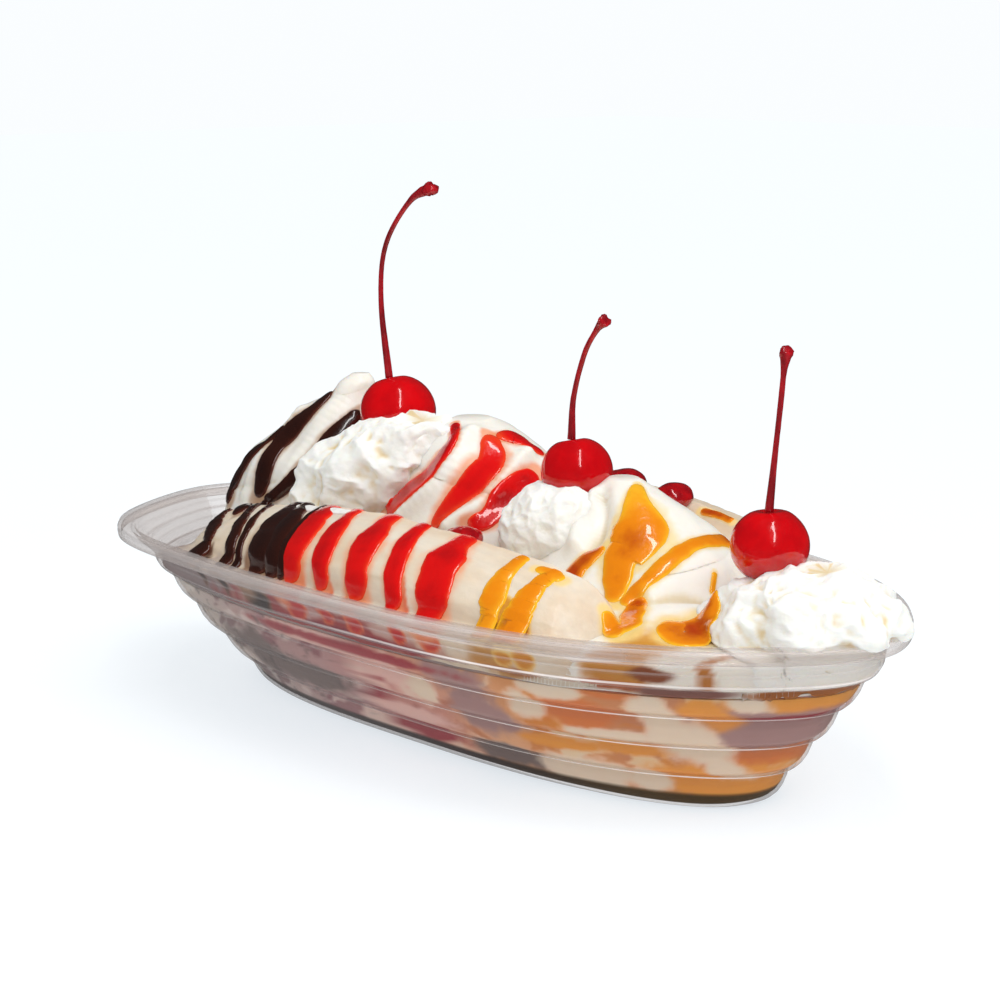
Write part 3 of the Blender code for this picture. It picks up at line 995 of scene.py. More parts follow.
@dataclass
class SoftServe(Mound):
    """Soft ice cream, wound up in one ribbon."""

    turns: float = 2.0
    ribbon_depth: float = 0.07
    ribbon_sharpness: float = 0.6
    ribbon_mean: float = 0.7

    def outline(self, rise: np.ndarray, angle: np.ndarray) -> np.ndarray:
        """A ribbon that winds up the heap, with a crease between its turns."""
        fade = np.sin(np.pi * np.minimum(1.0, 0.25 + 0.75 * rise)) ** 0.5
        phase = np.pi * self.turns * rise - 0.5 * angle
        ribbon = np.abs(np.sin(phase)) ** self.ribbon_sharpness - self.ribbon_mean
        return 1 + self.ribbon_depth * fade * ribbon


@dataclass
class Whipped(Mound):
    """Whipped cream: a star section that turns as it rises, with ragged curls over it."""

    crest: Colour = (0.93, 0.92, 0.87)
    # Yellowish painted shade in the creases
    crease_shade: Colour = (0.80, 0.64, 0.36)
    crease_shade_depth: float = 0.45
    ridge_count: int = 7
    ridge_depth: float = 0.09
    turn: float = 0.9
    lump: float = 10.0
    curl: float = 2.6
    ruffle: float = 0.7
    seed: float = 1.0

    def outline(self, rise: np.ndarray, angle: np.ndarray) -> np.ndarray:
        """Star ridges that turn as they rise."""
        return 1 + self.ridge_depth * np.cos(self.ridge_count * (angle + self.turn * rise))

    def relief(self, points: np.ndarray) -> np.ndarray:
        """Curls of several sizes."""
        warped = points + 2.5 * np.stack([wobble(points, 9.0, self.seed + k) for k in (3, 5, 8)], axis=1)
        big = ridges(warped, self.lump, self.seed) - 0.55
        small = ridges(warped, self.lump * 0.42, self.seed + 2) - 0.5
        return self.curl * big + self.ruffle * small + 0.12 * wobble(points, 1.8, self.seed + 4)


@dataclass
class Banana:
    """Half a banana that lies along the side of the boat, its rounded outer side against the wall."""

    name: str
    side: int
    start: float = -74.0
    end: float = 67.0
    offset: float = 32.0
    bow: float = 6.0
    radius: float = 16.0
    axis_height: float = 36.8
    axis_drop: float = 7.4
    cut_depth: float = 0.45
    round_end: float = 15.0
    floor: float = 28.3
    ridge_angle: float = 2.69
    thinning: float = 0.10  # how much thinner the ends are than the middle
    top: float = 0.10  # where along the half the axis is highest, from -1 to 1
    facet_depth: float = 0.055
    levelling: float = 0.1  # roundness left where the underside is flattened, as a share of the radius
    stations: int = 260
    around: int = 170
    flesh: Colour = (0.74, 0.57, 0.40)
    pale: Colour = (0.82, 0.74, 0.62)
    ridge: Colour = (0.52, 0.38, 0.20)
    patches: tuple[Patch, ...] = ()
    stains: tuple[Stain, ...] = ()

    def mesh(self, boat: Boat) -> bpy.types.Mesh:
        """Loft the half banana along its length and press it against the wall."""
        middle, half = (self.start + self.end) / 2, (self.end - self.start) / 2
        along = 0.5 - 0.5 * np.cos(np.pi * np.linspace(0.02, 0.98, self.stations))
        x = (self.start + (self.end - self.start) * along)[:, None]
        off = (x - middle) / half
        near_end = np.clip(1 - (half - np.abs(x - middle)) / self.round_end, 0, 1)
        radius = self.radius * (1 - self.thinning * off**2) * np.sqrt(1 - near_end**2.2)
        centre_y = -(self.offset - self.bow * off**2)
        centre_z = self.axis_height - self.axis_drop * (off - self.top) ** 2
        angle = (2 * np.pi * np.arange(self.around) / self.around)[None, :]
        facet = radius * (1.02 - self.facet_depth * np.abs(np.sin(2.5 * (angle - self.ridge_angle))))
        y, z = facet * np.cos(angle), facet * np.sin(angle)
        y = centre_y + np.where(y > 0, y * self.cut_depth, y)
        z = centre_z + z
        rounding = radius * self.levelling
        z = np.where(z < self.floor + rounding, self.floor + rounding * (1 + np.sin(angle)), z)
        rings = np.stack([x + 0 * angle, self.side * y, z], axis=2)
        mesh = loft(self.name, rings if self.side > 0 else rings[:, ::-1])
        points = points_of(mesh)
        fibres = wobble(points * (0.12, 1, 1), 1.6, 2.0) * 0.10 + wobble(points, 11.0, 4.0) * 0.35
        swell(mesh, fibres)
        move_points(mesh, boat.press(points_of(mesh)))
        return mesh

    def paint(self, mesh: bpy.types.Mesh, films: Sequence[Stain]) -> None:
        """Colour the flesh, its fibres, the dashes along its ridge, the stains and the films of sauce."""
        points = points_of(mesh)
        pale = (0.5 + 0.5 * wobble(points * (0.35, 1, 1), 8.0, 2.0))[:, None]
        tones = np.array(self.flesh) * (1 - pale) + np.array(self.pale) * pale
        fibre = wobble(points * (0.08, 1, 1), 1.2, 6.0)
        tones = tones * (1 + 0.05 * fibre)[:, None]
        across = points[:, 1] * self.side + self.offset
        up = np.arctan2(points[:, 2] - self.axis_height, -across)
        line = np.exp(-(((up - (np.pi - self.ridge_angle)) / 0.04) ** 2))
        dash = smoothstep(-0.15, 0.45, wobble(points * (0.5, 0.2, 0.2), 5.0, 9.0))
        share = (0.55 * line * dash * (across < 0))[:, None]
        tones = tones * (1 - share) + np.array(self.ridge) * share
        for layer in (*self.patches, *self.stains, *films):
            tones = layer.paint(points, tones)
        store_colour(mesh, "tone", tones)

    def build(self, boat: Boat, material: bpy.types.Material, films: Sequence[Stain]) -> bpy.types.Object:
        mesh = self.mesh(boat)
        self.paint(mesh, films)
        return show(add_object(f"{self.name}_flesh", mesh, material), "banana", self.name)


@dataclass
class Contents:
    """What fills the boat under the scoops: melted ice cream and sauces, pressed into the wall."""

    level: float = 28.0
    inset: float = 0.54
    around: int = 640
    step: float = 0.55
    # Top of the shadow painted round the foot
    foot_shadow_top: float = 3.6
    foot_shares: tuple[float, ...] = (0.15, 0.4, 0.65, 0.85, 0.97)
    dome: float = 0.9  # how much the top rises from its edge to its middle
    drift_size: float = 22.0
    drift: Point = (11.0, 8.0, 5.0)  # how far the swirls stray along, across and up
    gain: float = 1.55
    whitest: float = 0.9
    pool: Colour = (0.022, 0.006, 0.004)
    pool_edge: float = -84.0
    pool_blend: float = 4.0
    pool_between: tuple[float, float] = (26.8, 27.3)  # heights between which the pool sets in
    # Left and right tones of the dark band painted round the foot as shadow
    foot_shadow_left: Colour = (0.030, 0.014, 0.012)
    foot_shadow_right: Colour = (0.085, 0.045, 0.006)
    caramel_between: tuple[float, float] = (20.0, 70.0)  # where the painted shadow round the foot changes from its left to its right tone
    speck: Colour = (0.09, 0.06, 0.06)
    speck_strength: float = 0.6
    specks_between: tuple[float, float] = (-40.0, 20.0)  # where the specks thin out along the boat
    patches: tuple[Patch, ...] = ()
    zones: tuple[tuple[float, Colour, Colour, Colour], ...] = (
        (-110.0, (0.62, 0.57, 0.50), (0.72, 0.67, 0.60), (0.16, 0.11, 0.09)),
        (-60.0, (0.46, 0.40, 0.36), (0.58, 0.52, 0.47), (0.12, 0.05, 0.06)),
        (-25.0, (0.36, 0.22, 0.21), (0.52, 0.40, 0.37), (0.18, 0.04, 0.06)),
        (5.0, (0.44, 0.19, 0.17), (0.70, 0.50, 0.42), (0.24, 0.05, 0.06)),
        (35.0, (0.56, 0.30, 0.16), (0.76, 0.60, 0.42), (0.42, 0.14, 0.03)),
        (60.0, (0.48, 0.20, 0.07), (0.76, 0.58, 0.38), (0.50, 0.17, 0.01)),
        (110.0, (0.33, 0.15, 0.12), (0.55, 0.32, 0.14), (0.45, 0.15, 0.02)),
    )

    def heights(self, boat: Boat) -> list[float]:
        """Heights of the rings up the wall, close together at the ledges."""
        top = self.level - self.inset
        marks = sorted({0.0, *(height for _, _, height in boat.profile() if height < top)})
        marks.append(top)
        found = []
        for low, high in zip(marks, marks[1:]):
            count = max(1, math.ceil((high - low) / self.step))
            found += [low + (high - low) * k / count for k in range(count)]
        return [*found, marks[-1]]

    def mesh(self, boat: Boat) -> bpy.types.Mesh:
        """Loft from the middle of the floor, up the wall and in over the top."""
        rings = []
        for share in self.foot_shares:
            reach, half_width = boat.section_at(0.0)
            ring = boat.ring((reach, half_width, self.inset), self.around, self.inset)
            rings.append(ring * (share, share, 1.0))
        for height in self.heights(boat):
            reach, half_width = boat.section_at(height)
            rings.append(boat.ring((reach, half_width, height + self.inset), self.around, self.inset))
        edge = rings[-1]
        for share in np.linspace(0.985, 0.02, 34):
            ring = edge * (share, share, 1.0)
            dome = self.dome * smoothstep(1.0, 0.9, share)
            ring[:, 2] += dome + 0.5 * wobble(ring, 9.0, 2.0) * (share < 0.97)
            rings.append(ring)
        return loft("contents", np.array(rings))

    def paint(self, mesh: bpy.types.Mesh) -> None:
        """Colour the contents: swirls whose colours change along the boat, then the patches, and shadow
        painted round the foot.
        """
        points = points_of(mesh)
        drift = np.stack([wobble(points, self.drift_size, seed) for seed in (1.0, 2.0, 3.0)], axis=1)
        warped = points + drift * self.drift
        places = [zone[0] for zone in self.zones]
        columns = [[tuple(zone[tone]) for zone in self.zones] for tone in (1, 2, 3)]
        base, light, dark = (
            np.stack([np.interp(warped[:, 0], places, channel) for channel in zip(*column)], axis=1)
            for column in columns
        )
        streak = wobble(warped * (0.35, 0.8, 1.0), 7.0, 4.0)
        pale = smoothstep(0.05, 0.40, streak)[:, None]
        deep = smoothstep(0.12, 0.45, -wobble(warped * (0.4, 0.8, 1.2), 6.0, 7.0))[:, None]
        tones = base * (1 - pale) + light * pale
        tones = tones * (1 - 0.75 * deep) + dark * 0.75 * deep
        for patch in self.patches:
            tones = patch.paint(points, tones)
        tones = tones * self.gain
        pool = smoothstep(self.pool_edge, self.pool_edge - self.pool_blend, warped[:, 0])
        pool = pool * smoothstep(*self.pool_between, points[:, 2])
        tones = tones * (1 - pool[:, None]) + np.array(self.pool) * pool[:, None]
        specks = smoothstep(0.30, 0.55, wobble(points, 2.4, 8.0) + 0.5 * wobble(points, 9.0, 6.0))[:, None]
        left = 1 - smoothstep(*self.specks_between, points[:, 0])
        specks = specks * left[:, None] * self.speck_strength
        tones = tones * (1 - specks) + np.array(self.speck) * specks
        # Painted shadow: a dark band round the foot, where the boat meets the floor.
        foot = smoothstep(self.foot_shadow_top + 0.4, self.foot_shadow_top - 0.3, points[:, 2])[:, None]
        caramel_end = smoothstep(*self.caramel_between, points[:, 0])[:, None]
        foot_shadow_tone = np.array(self.foot_shadow_left) * (1 - caramel_end) + np.array(self.foot_shadow_right) * caramel_end
        tones = tones * (1 - foot) + foot_shadow_tone * foot
        brightest = tones.max(axis=1, keepdims=True)
        store_colour(mesh, "tone", tones * np.minimum(1.0, self.whitest / brightest))

    def build(self, boat: Boat, material: bpy.types.Material) -> bpy.types.Object:
        mesh = self.mesh(boat)
        self.paint(mesh)
        return show(add_object("melted_contents", mesh, material), "ice_cream_and_sauce", "bed")


# --------------------------------------------------------------------------------------------------------
# Cherries and strawberries
# --------------------------------------------------------------------------------------------------------


@dataclass(frozen=True)
class CherrySkin(Finish):
    """Candied cherry: clear deep red under a syrup gloss."""

    deep: Colour = (0.50, 0.0, 0.003)
    bright: Colour = (0.66, 0.0, 0.003)

    def surface(self, graph: Graph) -> Value:
        """Cloudy reds with a faint skin bump."""
        cloud = graph.grain(7.0, 3.0, 0.6)
        return principled(
            graph,
            Base_Color=graph.mix(cloud.ramp(0.30, 0.70), self.deep, self.bright),
            Roughness=0.20,
            Specular_IOR_Level=0.25,
            Coat_Weight=0.9,
            Coat_Roughness=0.02,
            Subsurface_Weight=0.15,
            Subsurface_Radius=(0.004, 0.0004, 0.0004),
            Subsurface_Scale=1.0,
            Normal=graph.bump(graph.grain(2.2, 3.0), 0.10),
        )


@dataclass(frozen=True)
class StemSkin(Finish):
    """Dyed cherry stem: dark red, lighter along its length in places, with fine grooves."""

    def surface(self, graph: Graph) -> Value:
        """Streaky dark red."""
        streak = graph.grain(3.0, 3.0, 0.6, (1, 1, 0.25))
        return principled(
            graph,
            Base_Color=graph.mix(streak.ramp(0.35, 0.7), (0.20, 0.0, 0.004), (0.50, 0.002, 0.01)),
            Roughness=0.30,
            Coat_Weight=0.5,
            Coat_Roughness=0.1,
            Normal=graph.bump(graph.grain(0.8, 2.0, 0.5, (1, 1, 0.2)), 0.15),
        )


@dataclass
class Cherry:
    """A stemmed cherry with a dimple where the stem goes in."""

    name: str
    centre: Point
    radius: float
    offsets: tuple[Point, ...]
    squash: float = 0.95
    dimple: float = 0.17
    lobe: float = 0.04
    levels: int = 90
    around: int = 120
    stem_radius: float = 0.62
    stem_widths: tuple[float, ...] = (1.5, 1.0, 0.95, 1.1, 2.7)

    def fruit(self) -> bpy.types.Mesh:
        """A round fruit, slightly cleft down one side."""
        polar = np.linspace(np.pi, 0, self.levels + 2)[1:-1, None]
        angle = (2 * np.pi * np.arange(self.around) / self.around)[None, :]
        facing = np.stack(
            [np.sin(polar) * np.cos(angle), np.sin(polar) * np.sin(angle), np.cos(polar) + 0 * angle], axis=2
        )
        cleft = np.exp(-(((angle - 5.2) / 0.35) ** 2)) * np.sin(polar)
        size = self.radius * (1 - self.lobe * cleft)[:, :, None]
        rings = np.array(self.centre) + facing * size * (1, 1, self.squash)
        mesh = loft(f"cherry_{self.name}", rings)
        points = points_of(mesh)
        into = np.array(self.offsets[0]) / np.linalg.norm(self.offsets[0])
        off_axis = 1 - ((points - self.centre) / np.linalg.norm(points - self.centre, axis=1)[:, None]) @ into
        sunk = self.radius * self.dimple * np.exp(-off_axis / 0.035)
        move_points(mesh, points - into * sunk[:, None])
        swell(mesh, 0.10 * wobble(points, 6.0, self.radius))
        return mesh

    def stem(self) -> bpy.types.Mesh:
        """A thin bent stem whose head is a rough knob."""
        places = np.array(self.centre) + np.array(self.offsets)
        rows = np.column_stack([places, self.stem_widths])
        line = catmull_rom(rows, 150)
        tangent = np.gradient(line[:, :3], axis=0)
        tangent /= np.linalg.norm(tangent, axis=1)[:, None]
        across = np.cross(tangent, (0.0, 1.0, 0.0))
        across /= np.linalg.norm(across, axis=1)[:, None]
        third = np.cross(tangent, across)
        angle = 2 * np.pi * np.arange(20) / 20
        cosine, sine = np.cos(angle)[None, :, None], np.sin(angle)[None, :, None]
        ring = across[:, None, :] * cosine + third[:, None, :] * sine
        round_off = np.sqrt(np.clip(1 - np.clip((np.arange(150) - 143) / 7, 0, 1) ** 2, 0.05, 1))
        wide = (self.stem_radius * line[:, 3] * round_off)[:, None, None]
        mesh = loft(f"stem_{self.name}", line[:, None, :3] + ring * wide)
        points = points_of(mesh)
        knob = smoothstep(0.8, 1.0, np.r_[np.repeat(np.linspace(0, 1, 150), 20), 0, 1])
        swell(mesh, (0.05 + 0.45 * knob) * wobble(points, 1.6, 2.0) * (0.4 + knob))
        return mesh

    def build(self, skin: bpy.types.Material, stem_skin: bpy.types.Material) -> None:
        """Make the fruit and its stem."""
        fruit = add_object(f"cherry_{self.name}_fruit", self.fruit(), skin)
        show(fruit, "cherry", f"cherry_{self.name}")
        stem = add_object(f"stem_{self.name}_stalk", self.stem(), stem_skin)
        show(stem, "cherry_stem", f"stem_{self.name}")


@dataclass(frozen=True)
class BerryFlesh(Finish):
    """A piece of strawberry in syrup: dark red and very glossy, with pale seeds set in it."""

    def surface(self, graph: Graph) -> Value:
        """Dark cloudy red with dimples."""
        cloud = graph.grain(3.0, 3.0, 0.6)
        return principled(
            graph,
            Base_Color=graph.mix(cloud.ramp(0.3, 0.7), (0.26, 0.0, 0.004), (0.48, 0.001, 0.004)),
            Roughness=0.2,
            Coat_Weight=1.0,
            Coat_Roughness=0.04,
            Normal=graph.bump(graph.grain(1.6), 0.08),
        )


@dataclass
class Berry:
    """A piece of strawberry."""

    name: str
    centre: Point
    radii: Point
    levels: int = 60
    around: int = 80

    def build(self, flesh: bpy.types.Material) -> bpy.types.Object:
        """Make the uneven piece."""
        polar = np.linspace(np.pi, 0, self.levels + 2)[1:-1, None]
        angle = (2 * np.pi * np.arange(self.around) / self.around)[None, :]
        facing = np.stack(
            [np.sin(polar) * np.cos(angle), np.sin(polar) * np.sin(angle), np.cos(polar) + 0 * angle], axis=2
        )
        mesh = loft(f"strawberry_{self.name}", np.array(self.centre) + facing * self.radii)
        points = points_of(mesh)
        swell(mesh, 0.35 * wobble(points, 5.0, self.centre[0], 2) - 0.04 * (1 - ridges(points, 1.6, 3.0)))
        piece = add_object(f"strawberry_{self.name}_piece", mesh, flesh)
        return show(piece, "strawberry", f"strawberry_{self.name}")


# --------------------------------------------------------------------------------------------------------
# Sauces
# --------------------------------------------------------------------------------------------------------


class Topping(Enum):
    """The three sauces, and the whipped cream that is smeared over them in places."""

    CHOCOLATE = "chocolate"
    STRAWBERRY = "strawberry"
    CARAMEL = "caramel"
    CREAM = "cream"


@dataclass(frozen=True)
class SauceFinish(Finish):
    """Glossy sauce, lighter where it thins out towards its edges."""

    thin: Colour
    body: Colour
    thick: Colour
    film: Colour
    cloud: float = 0.35
    ripple: float = 0.16
    coat: float = 1.0
    body_from: float = 0.10  # stored thicknesses between which thin turns to body, then body to thick
    body_to: float = 0.80
    thick_to: float = 1.35

    def surface(self, graph: Graph) -> Value:
        """Colour by the stored thickness, with a faint cloudiness."""
        depth = graph.attribute("thickness") + (graph.grain(3.0, 3.0) - 0.5) * self.cloud
        colour = graph.mix(depth.ramp(self.body_from, self.body_to), self.thin, self.body)
        colour = graph.mix(depth.ramp(self.body_to, self.thick_to), colour, self.thick)
        return principled(
            graph,
            Base_Color=colour,
            Roughness=0.25,
            Specular_IOR_Level=0.3,
            Coat_Weight=self.coat,
            Coat_Roughness=0.03,
            Normal=graph.bump(graph.grain(2.0, 3.0), self.ripple),
        )


FINISHES = {
    Topping.CHOCOLATE: SauceFinish(
        "chocolate_sauce",
        thin=(0.10, 0.020, 0.010),
        body=(0.032, 0.007, 0.004),
        thick=(0.016, 0.004, 0.003),
        film=(0.50, 0.30, 0.18),
    ),
    Topping.STRAWBERRY: SauceFinish(
        "strawberry_sauce",
        thin=(0.86, 0.06, 0.012),
        body=(0.74, 0.001, 0.001),
        thick=(0.40, 0.0, 0.002),
        film=(0.90, 0.34, 0.16),
    ),
    Topping.CARAMEL: SauceFinish(
        "caramel_sauce",
        thin=(0.98, 0.55, 0.02),
        body=(0.84, 0.24, 0.0),
        thick=(0.46, 0.045, 0.0),
        film=(0.92, 0.66, 0.24),
    ),
    Topping.CREAM: SauceFinish(
        "smeared_cream",
        thin=(0.80, 0.70, 0.66),
        body=(0.88, 0.86, 0.82),
        thick=(0.90, 0.89, 0.86),
        film=(0.80, 0.72, 0.66),
        cloud=0.30,
        ripple=0.3,
        coat=0.1,
    ),
}


def stream_tree() -> bpy.types.NodeTree:
    """Node tree that lays streams of sauce over a heap along the edges of a mesh.

    Each path is resampled to the same number of steps and given a round section. Each point of the section is
    then moved sideways by its share of the stream's half width, dropped to the nearest place on the heap, and
    raised from there by the height of the stream's crown, or sunk a little if it is on the underside.

    Returns:
        The tree.
    """
    tree = bpy.data.node_groups.new("sauce_streams", "GeometryNodeTree")
    graph = Graph(tree)
    interface = tree.interface
    interface.new_socket("Geometry", in_out="OUTPUT", socket_type="NodeSocketGeometry")
    interface.new_socket("Paths", in_out="INPUT", socket_type="NodeSocketGeometry")
    interface.new_socket("Heap", in_out="INPUT", socket_type="NodeSocketObject")
    for name, kind, value in (
        ("Steps", "NodeSocketInt", 160),
        ("Sides", "NodeSocketInt", 20),
        ("Crown", "NodeSocketFloat", 1.0 * MM),
        ("Sink", "NodeSocketFloat", 0.35 * MM),
        ("Waviness", "NodeSocketFloat", 0.35),
        ("Seed", "NodeSocketFloat", 1.0),
    ):
        interface.new_socket(name, in_out="INPUT", socket_type=kind).default_value = value
    interface.new_socket("Sauce", in_out="INPUT", socket_type="NodeSocketMaterial")
    given = graph.node("NodeGroupInput").outputs

    def vector(operation: str, *operands: object, output: str = "Vector") -> Value:
        """Vector Math."""
        inputs = dict(enumerate(operands))
        return graph.out("ShaderNodeVectorMath", output, {"operation": operation}, inputs)

    curve = graph.out("GeometryNodeMeshToCurve", "Curve", None, {"Mesh": given["Paths"]})
    kind = {"spline_type": "CATMULL_ROM"}
    smooth = graph.out("GeometryNodeCurveSplineType", "Curve", kind, {"Curve": curve})
    evened = graph.out("GeometryNodeResampleCurve", "Curve", None, {"Curve": smooth, "Count": given["Steps"]})
    circle = graph.out(
        "GeometryNodeCurvePrimitiveCircle", "Curve", None, {"Resolution": given["Sides"], "Radius": 0.2 * MM}
    )
    tube = graph.out(
        "GeometryNodeCurveToMesh", "Mesh", None, {"Curve": evened, "Profile Curve": circle, "Fill Caps": True}
    )
    index = graph.out("GeometryNodeInputIndex", "Index")
    sides = Value(graph, given["Sides"])
    step = ((index + 0.5) / sides).floor()
    corner = index - step * sides

    def along(value: Value | bpy.types.NodeSocket, kind: str) -> Value:
        """A value of the resampled path at this point's step."""
        inputs = {"Geometry": evened, "Value": value, "Index": step}
        return graph.out("GeometryNodeSampleIndex", "Value", {"data_type": kind, "domain": "POINT"}, inputs)

    centre = along(graph.out("GeometryNodeInputPosition", "Position"), "FLOAT_VECTOR")
    tangent = along(graph.out("GeometryNodeInputTangent", "Tangent"), "FLOAT_VECTOR")
    stored = graph.out(
        "GeometryNodeInputNamedAttribute", "Attribute", {"data_type": "FLOAT"}, {"Name": "half_width"}
    )
    half_width = along(stored, "FLOAT")
    stored = graph.out(
        "GeometryNodeInputNamedAttribute", "Attribute", {"data_type": "FLOAT"}, {"Name": "depth"}
    )
    depth = along(stored, "FLOAT")
    gone = along(graph.out("GeometryNodeSplineParameter", "Length"), "FLOAT")
    whole = along(graph.out("GeometryNodeSplineLength", "Length"), "FLOAT")

    space = {"transform_space": "ORIGINAL"}
    heap = graph.out("GeometryNodeObjectInfo", "Geometry", space, {"Object": given["Heap"]})
    heap_normal = graph.out(
        "GeometryNodeInputNamedAttribute", "Attribute", {"data_type": "FLOAT_VECTOR"}, {"Name": "upright"}
    )

    def normal_at(place: Value) -> Value:
        """The heap's smooth normal nearest to a place."""
        inputs = {"Mesh": heap, "Value": heap_normal, "Sample Position": place}
        return graph.out("GeometryNodeSampleNearestSurface", "Value", {"data_type": "FLOAT_VECTOR"}, inputs)

    upright = normal_at(centre)
    aside = vector("NORMALIZE", vector("CROSS_PRODUCT", tangent, upright))
    angle = corner / sides * (2 * math.pi)
    seeded = vector("ADD", centre, graph.out("ShaderNodeCombineXYZ", 0, None, {0: given["Seed"]}))
    swing = graph.out("ShaderNodeTexNoise", 0, None, {"Vector": seeded, "Scale": 140.0, "Detail": 2.0})
    uneven = 1 + (swing - 0.5) * given_value(graph, given["Waviness"]) * 2
    to_end = whole - gone
    nearest_end = graph.out("ShaderNodeMath", 0, {"operation": "MINIMUM"}, {0: gone, 1: to_end})
    share = (nearest_end / (half_width * 1.1)).clamped()
    rounded = (1 - (1 - share) ** 2.0).larger(0.0) ** 0.5
    sideways = angle.cosine() * half_width * uneven * rounded
    spread = vector("ADD", centre, vector("SCALE", aside, output="Vector"))
    scale_node = spread.socket.node.inputs[1].links[0].from_node
    graph.feed(scale_node.inputs["Scale"], sideways)
    landed = graph.out(
        "GeometryNodeProximity",
        "Position",
        {"target_element": "FACES"},
        {"Geometry": heap, "Sample Position": spread},
    )
    lift_way = normal_at(spread)
    crown = angle.sine().larger(0.0) ** 0.8 * rounded * uneven
    below = (angle.sine() * -1).larger(0.0) ** 0.5
    narrow = (half_width / (2.2 * MM)).clamped() ** 0.5
    lift = crown * narrow * given_value(graph, given["Crown"]) - below * given_value(graph, given["Sink"])
    raised = vector("SCALE", lift_way)
    graph.feed(raised.socket.node.inputs["Scale"], lift - 0.05 * MM)
    shaped = graph.out(
        "GeometryNodeSetPosition",
        "Geometry",
        None,
        {"Geometry": tube, "Position": vector("ADD", landed, raised)},
    )
    marked = graph.out(
        "GeometryNodeStoreNamedAttribute",
        "Geometry",
        {"data_type": "FLOAT", "domain": "POINT"},
        {"Geometry": shaped, "Name": "thickness", "Value": crown * depth},
    )
    realized = graph.out("GeometryNodeRealizeInstances", "Geometry", None, {"Geometry": marked})
    dressed = graph.out(
        "GeometryNodeSetMaterial", "Geometry", None, {"Geometry": realized, "Material": given["Sauce"]}
    )
    graph.node("NodeGroupOutput", None, {0: dressed})
    return tree


def given_value(graph: Graph, socket: bpy.types.NodeSocket) -> Value:
    """A tree's input as a value for sums."""
    return Value(graph, socket)


def bake(obj: bpy.types.Object, name: str) -> bpy.types.Object:
    """Replace an object that has node modifiers by a plain mesh object.

    Args:
        obj: The object to evaluate and delete.
        name: Name of the plain one.

    Returns:
        The plain mesh object.
    """
    graph = bpy.context.evaluated_depsgraph_get()
    mesh = bpy.data.meshes.new_from_object(obj.evaluated_get(graph), depsgraph=graph)
    mesh.name = name
    mesh.shade_smooth()
    bpy.data.objects.remove(obj)
    return add_object(name, mesh)


def set_inputs(modifier: bpy.types.NodesModifier, values: dict[str, object]) -> None:
    """Set a node modifier's inputs by their sockets' identifiers."""
    for item in modifier.node_group.interface.items_tree:
        if item.item_type == "SOCKET" and item.in_out == "INPUT" and item.name in values:
            modifier[item.identifier] = values[item.name]


@dataclass
class Heap:
    """All the food as one closed surface, for the sauces to lie on. It is deleted at the end."""

    voxel: float = 0.8

    def build(self, pieces: Iterable[bpy.types.Object]) -> bpy.types.Object:
        """Join copies of the pieces, remesh them as one and store the smooth normals."""
        points, faces, start = [], [], 0
        for piece in pieces:
            points.append(points_of(piece.data))
            faces += [tuple(start + v for v in face.vertices) for face in piece.data.polygons]
            start += len(piece.data.vertices)
        obj = add_object("heap", make_mesh("heap", np.concatenate(points), faces))
        remesh = obj.modifiers.new("one", "REMESH")
        remesh.mode = "VOXEL"
        remesh.voxel_size = self.voxel * MM
        obj = bake(obj, "heap_skin")
        store_vector(obj.data, "upright", normals_of(obj.data))
        return obj


@dataclass
class Sauce:
    """Streams of one sauce, each a path of x, y, z and half width, and of its depth where that isn't 1."""

    topping: Topping
    slot: str
    streams: tuple[tuple[tuple[float, ...], ...], ...]
    crown: float = 1.0
    spread: float = 1.05
    waviness: float = 0.35
    steps: int = 120
    seed: float = 1.0

    def films(self) -> list[Stain]:
        """The thin film that the food soaks up round each stream."""
        tone = FINISHES[self.topping].film
        return [Stain(tone, tone, stream, 1.18 * self.spread, 0.28, 0.85) for stream in self.streams]

    def build(self, heap: bpy.types.Object, tree: bpy.types.NodeTree) -> bpy.types.Object:
        """Lay the streams over the heap."""
        points, edges, widths, depths = [], [], [], []
        for stream in self.streams:
            start = len(points)
            points += [((x + TO_MIDDLE) * MM, y * MM, z * MM) for x, y, z, *_ in stream]
            edges += [(start + k, start + k + 1) for k in range(len(stream) - 1)]
            widths += [row[3] * self.spread * MM for row in stream]
            depths += [row[4] if len(row) > 4 else 1.0 for row in stream]
        mesh = bpy.data.meshes.new("paths")
        mesh.from_pydata(points, edges, [])
        store_value(mesh, "half_width", np.array(widths))
        store_value(mesh, "depth", np.array(depths))
        obj = add_object("paths", mesh)
        modifier = obj.modifiers.new("streams", "NODES")
        modifier.node_group = tree
        material = FINISHES[self.topping].material()
        values = {
            "Heap": heap,
            "Crown": self.crown * MM,
            "Waviness": self.waviness,
            "Steps": self.steps,
            "Seed": self.seed,
            "Sauce": material,
        }
        set_inputs(modifier, values)
        return show(bake(obj, f"{self.topping.value}_streams"), self.slot)


# --------------------------------------------------------------------------------------------------------
# The banana split
# --------------------------------------------------------------------------------------------------------

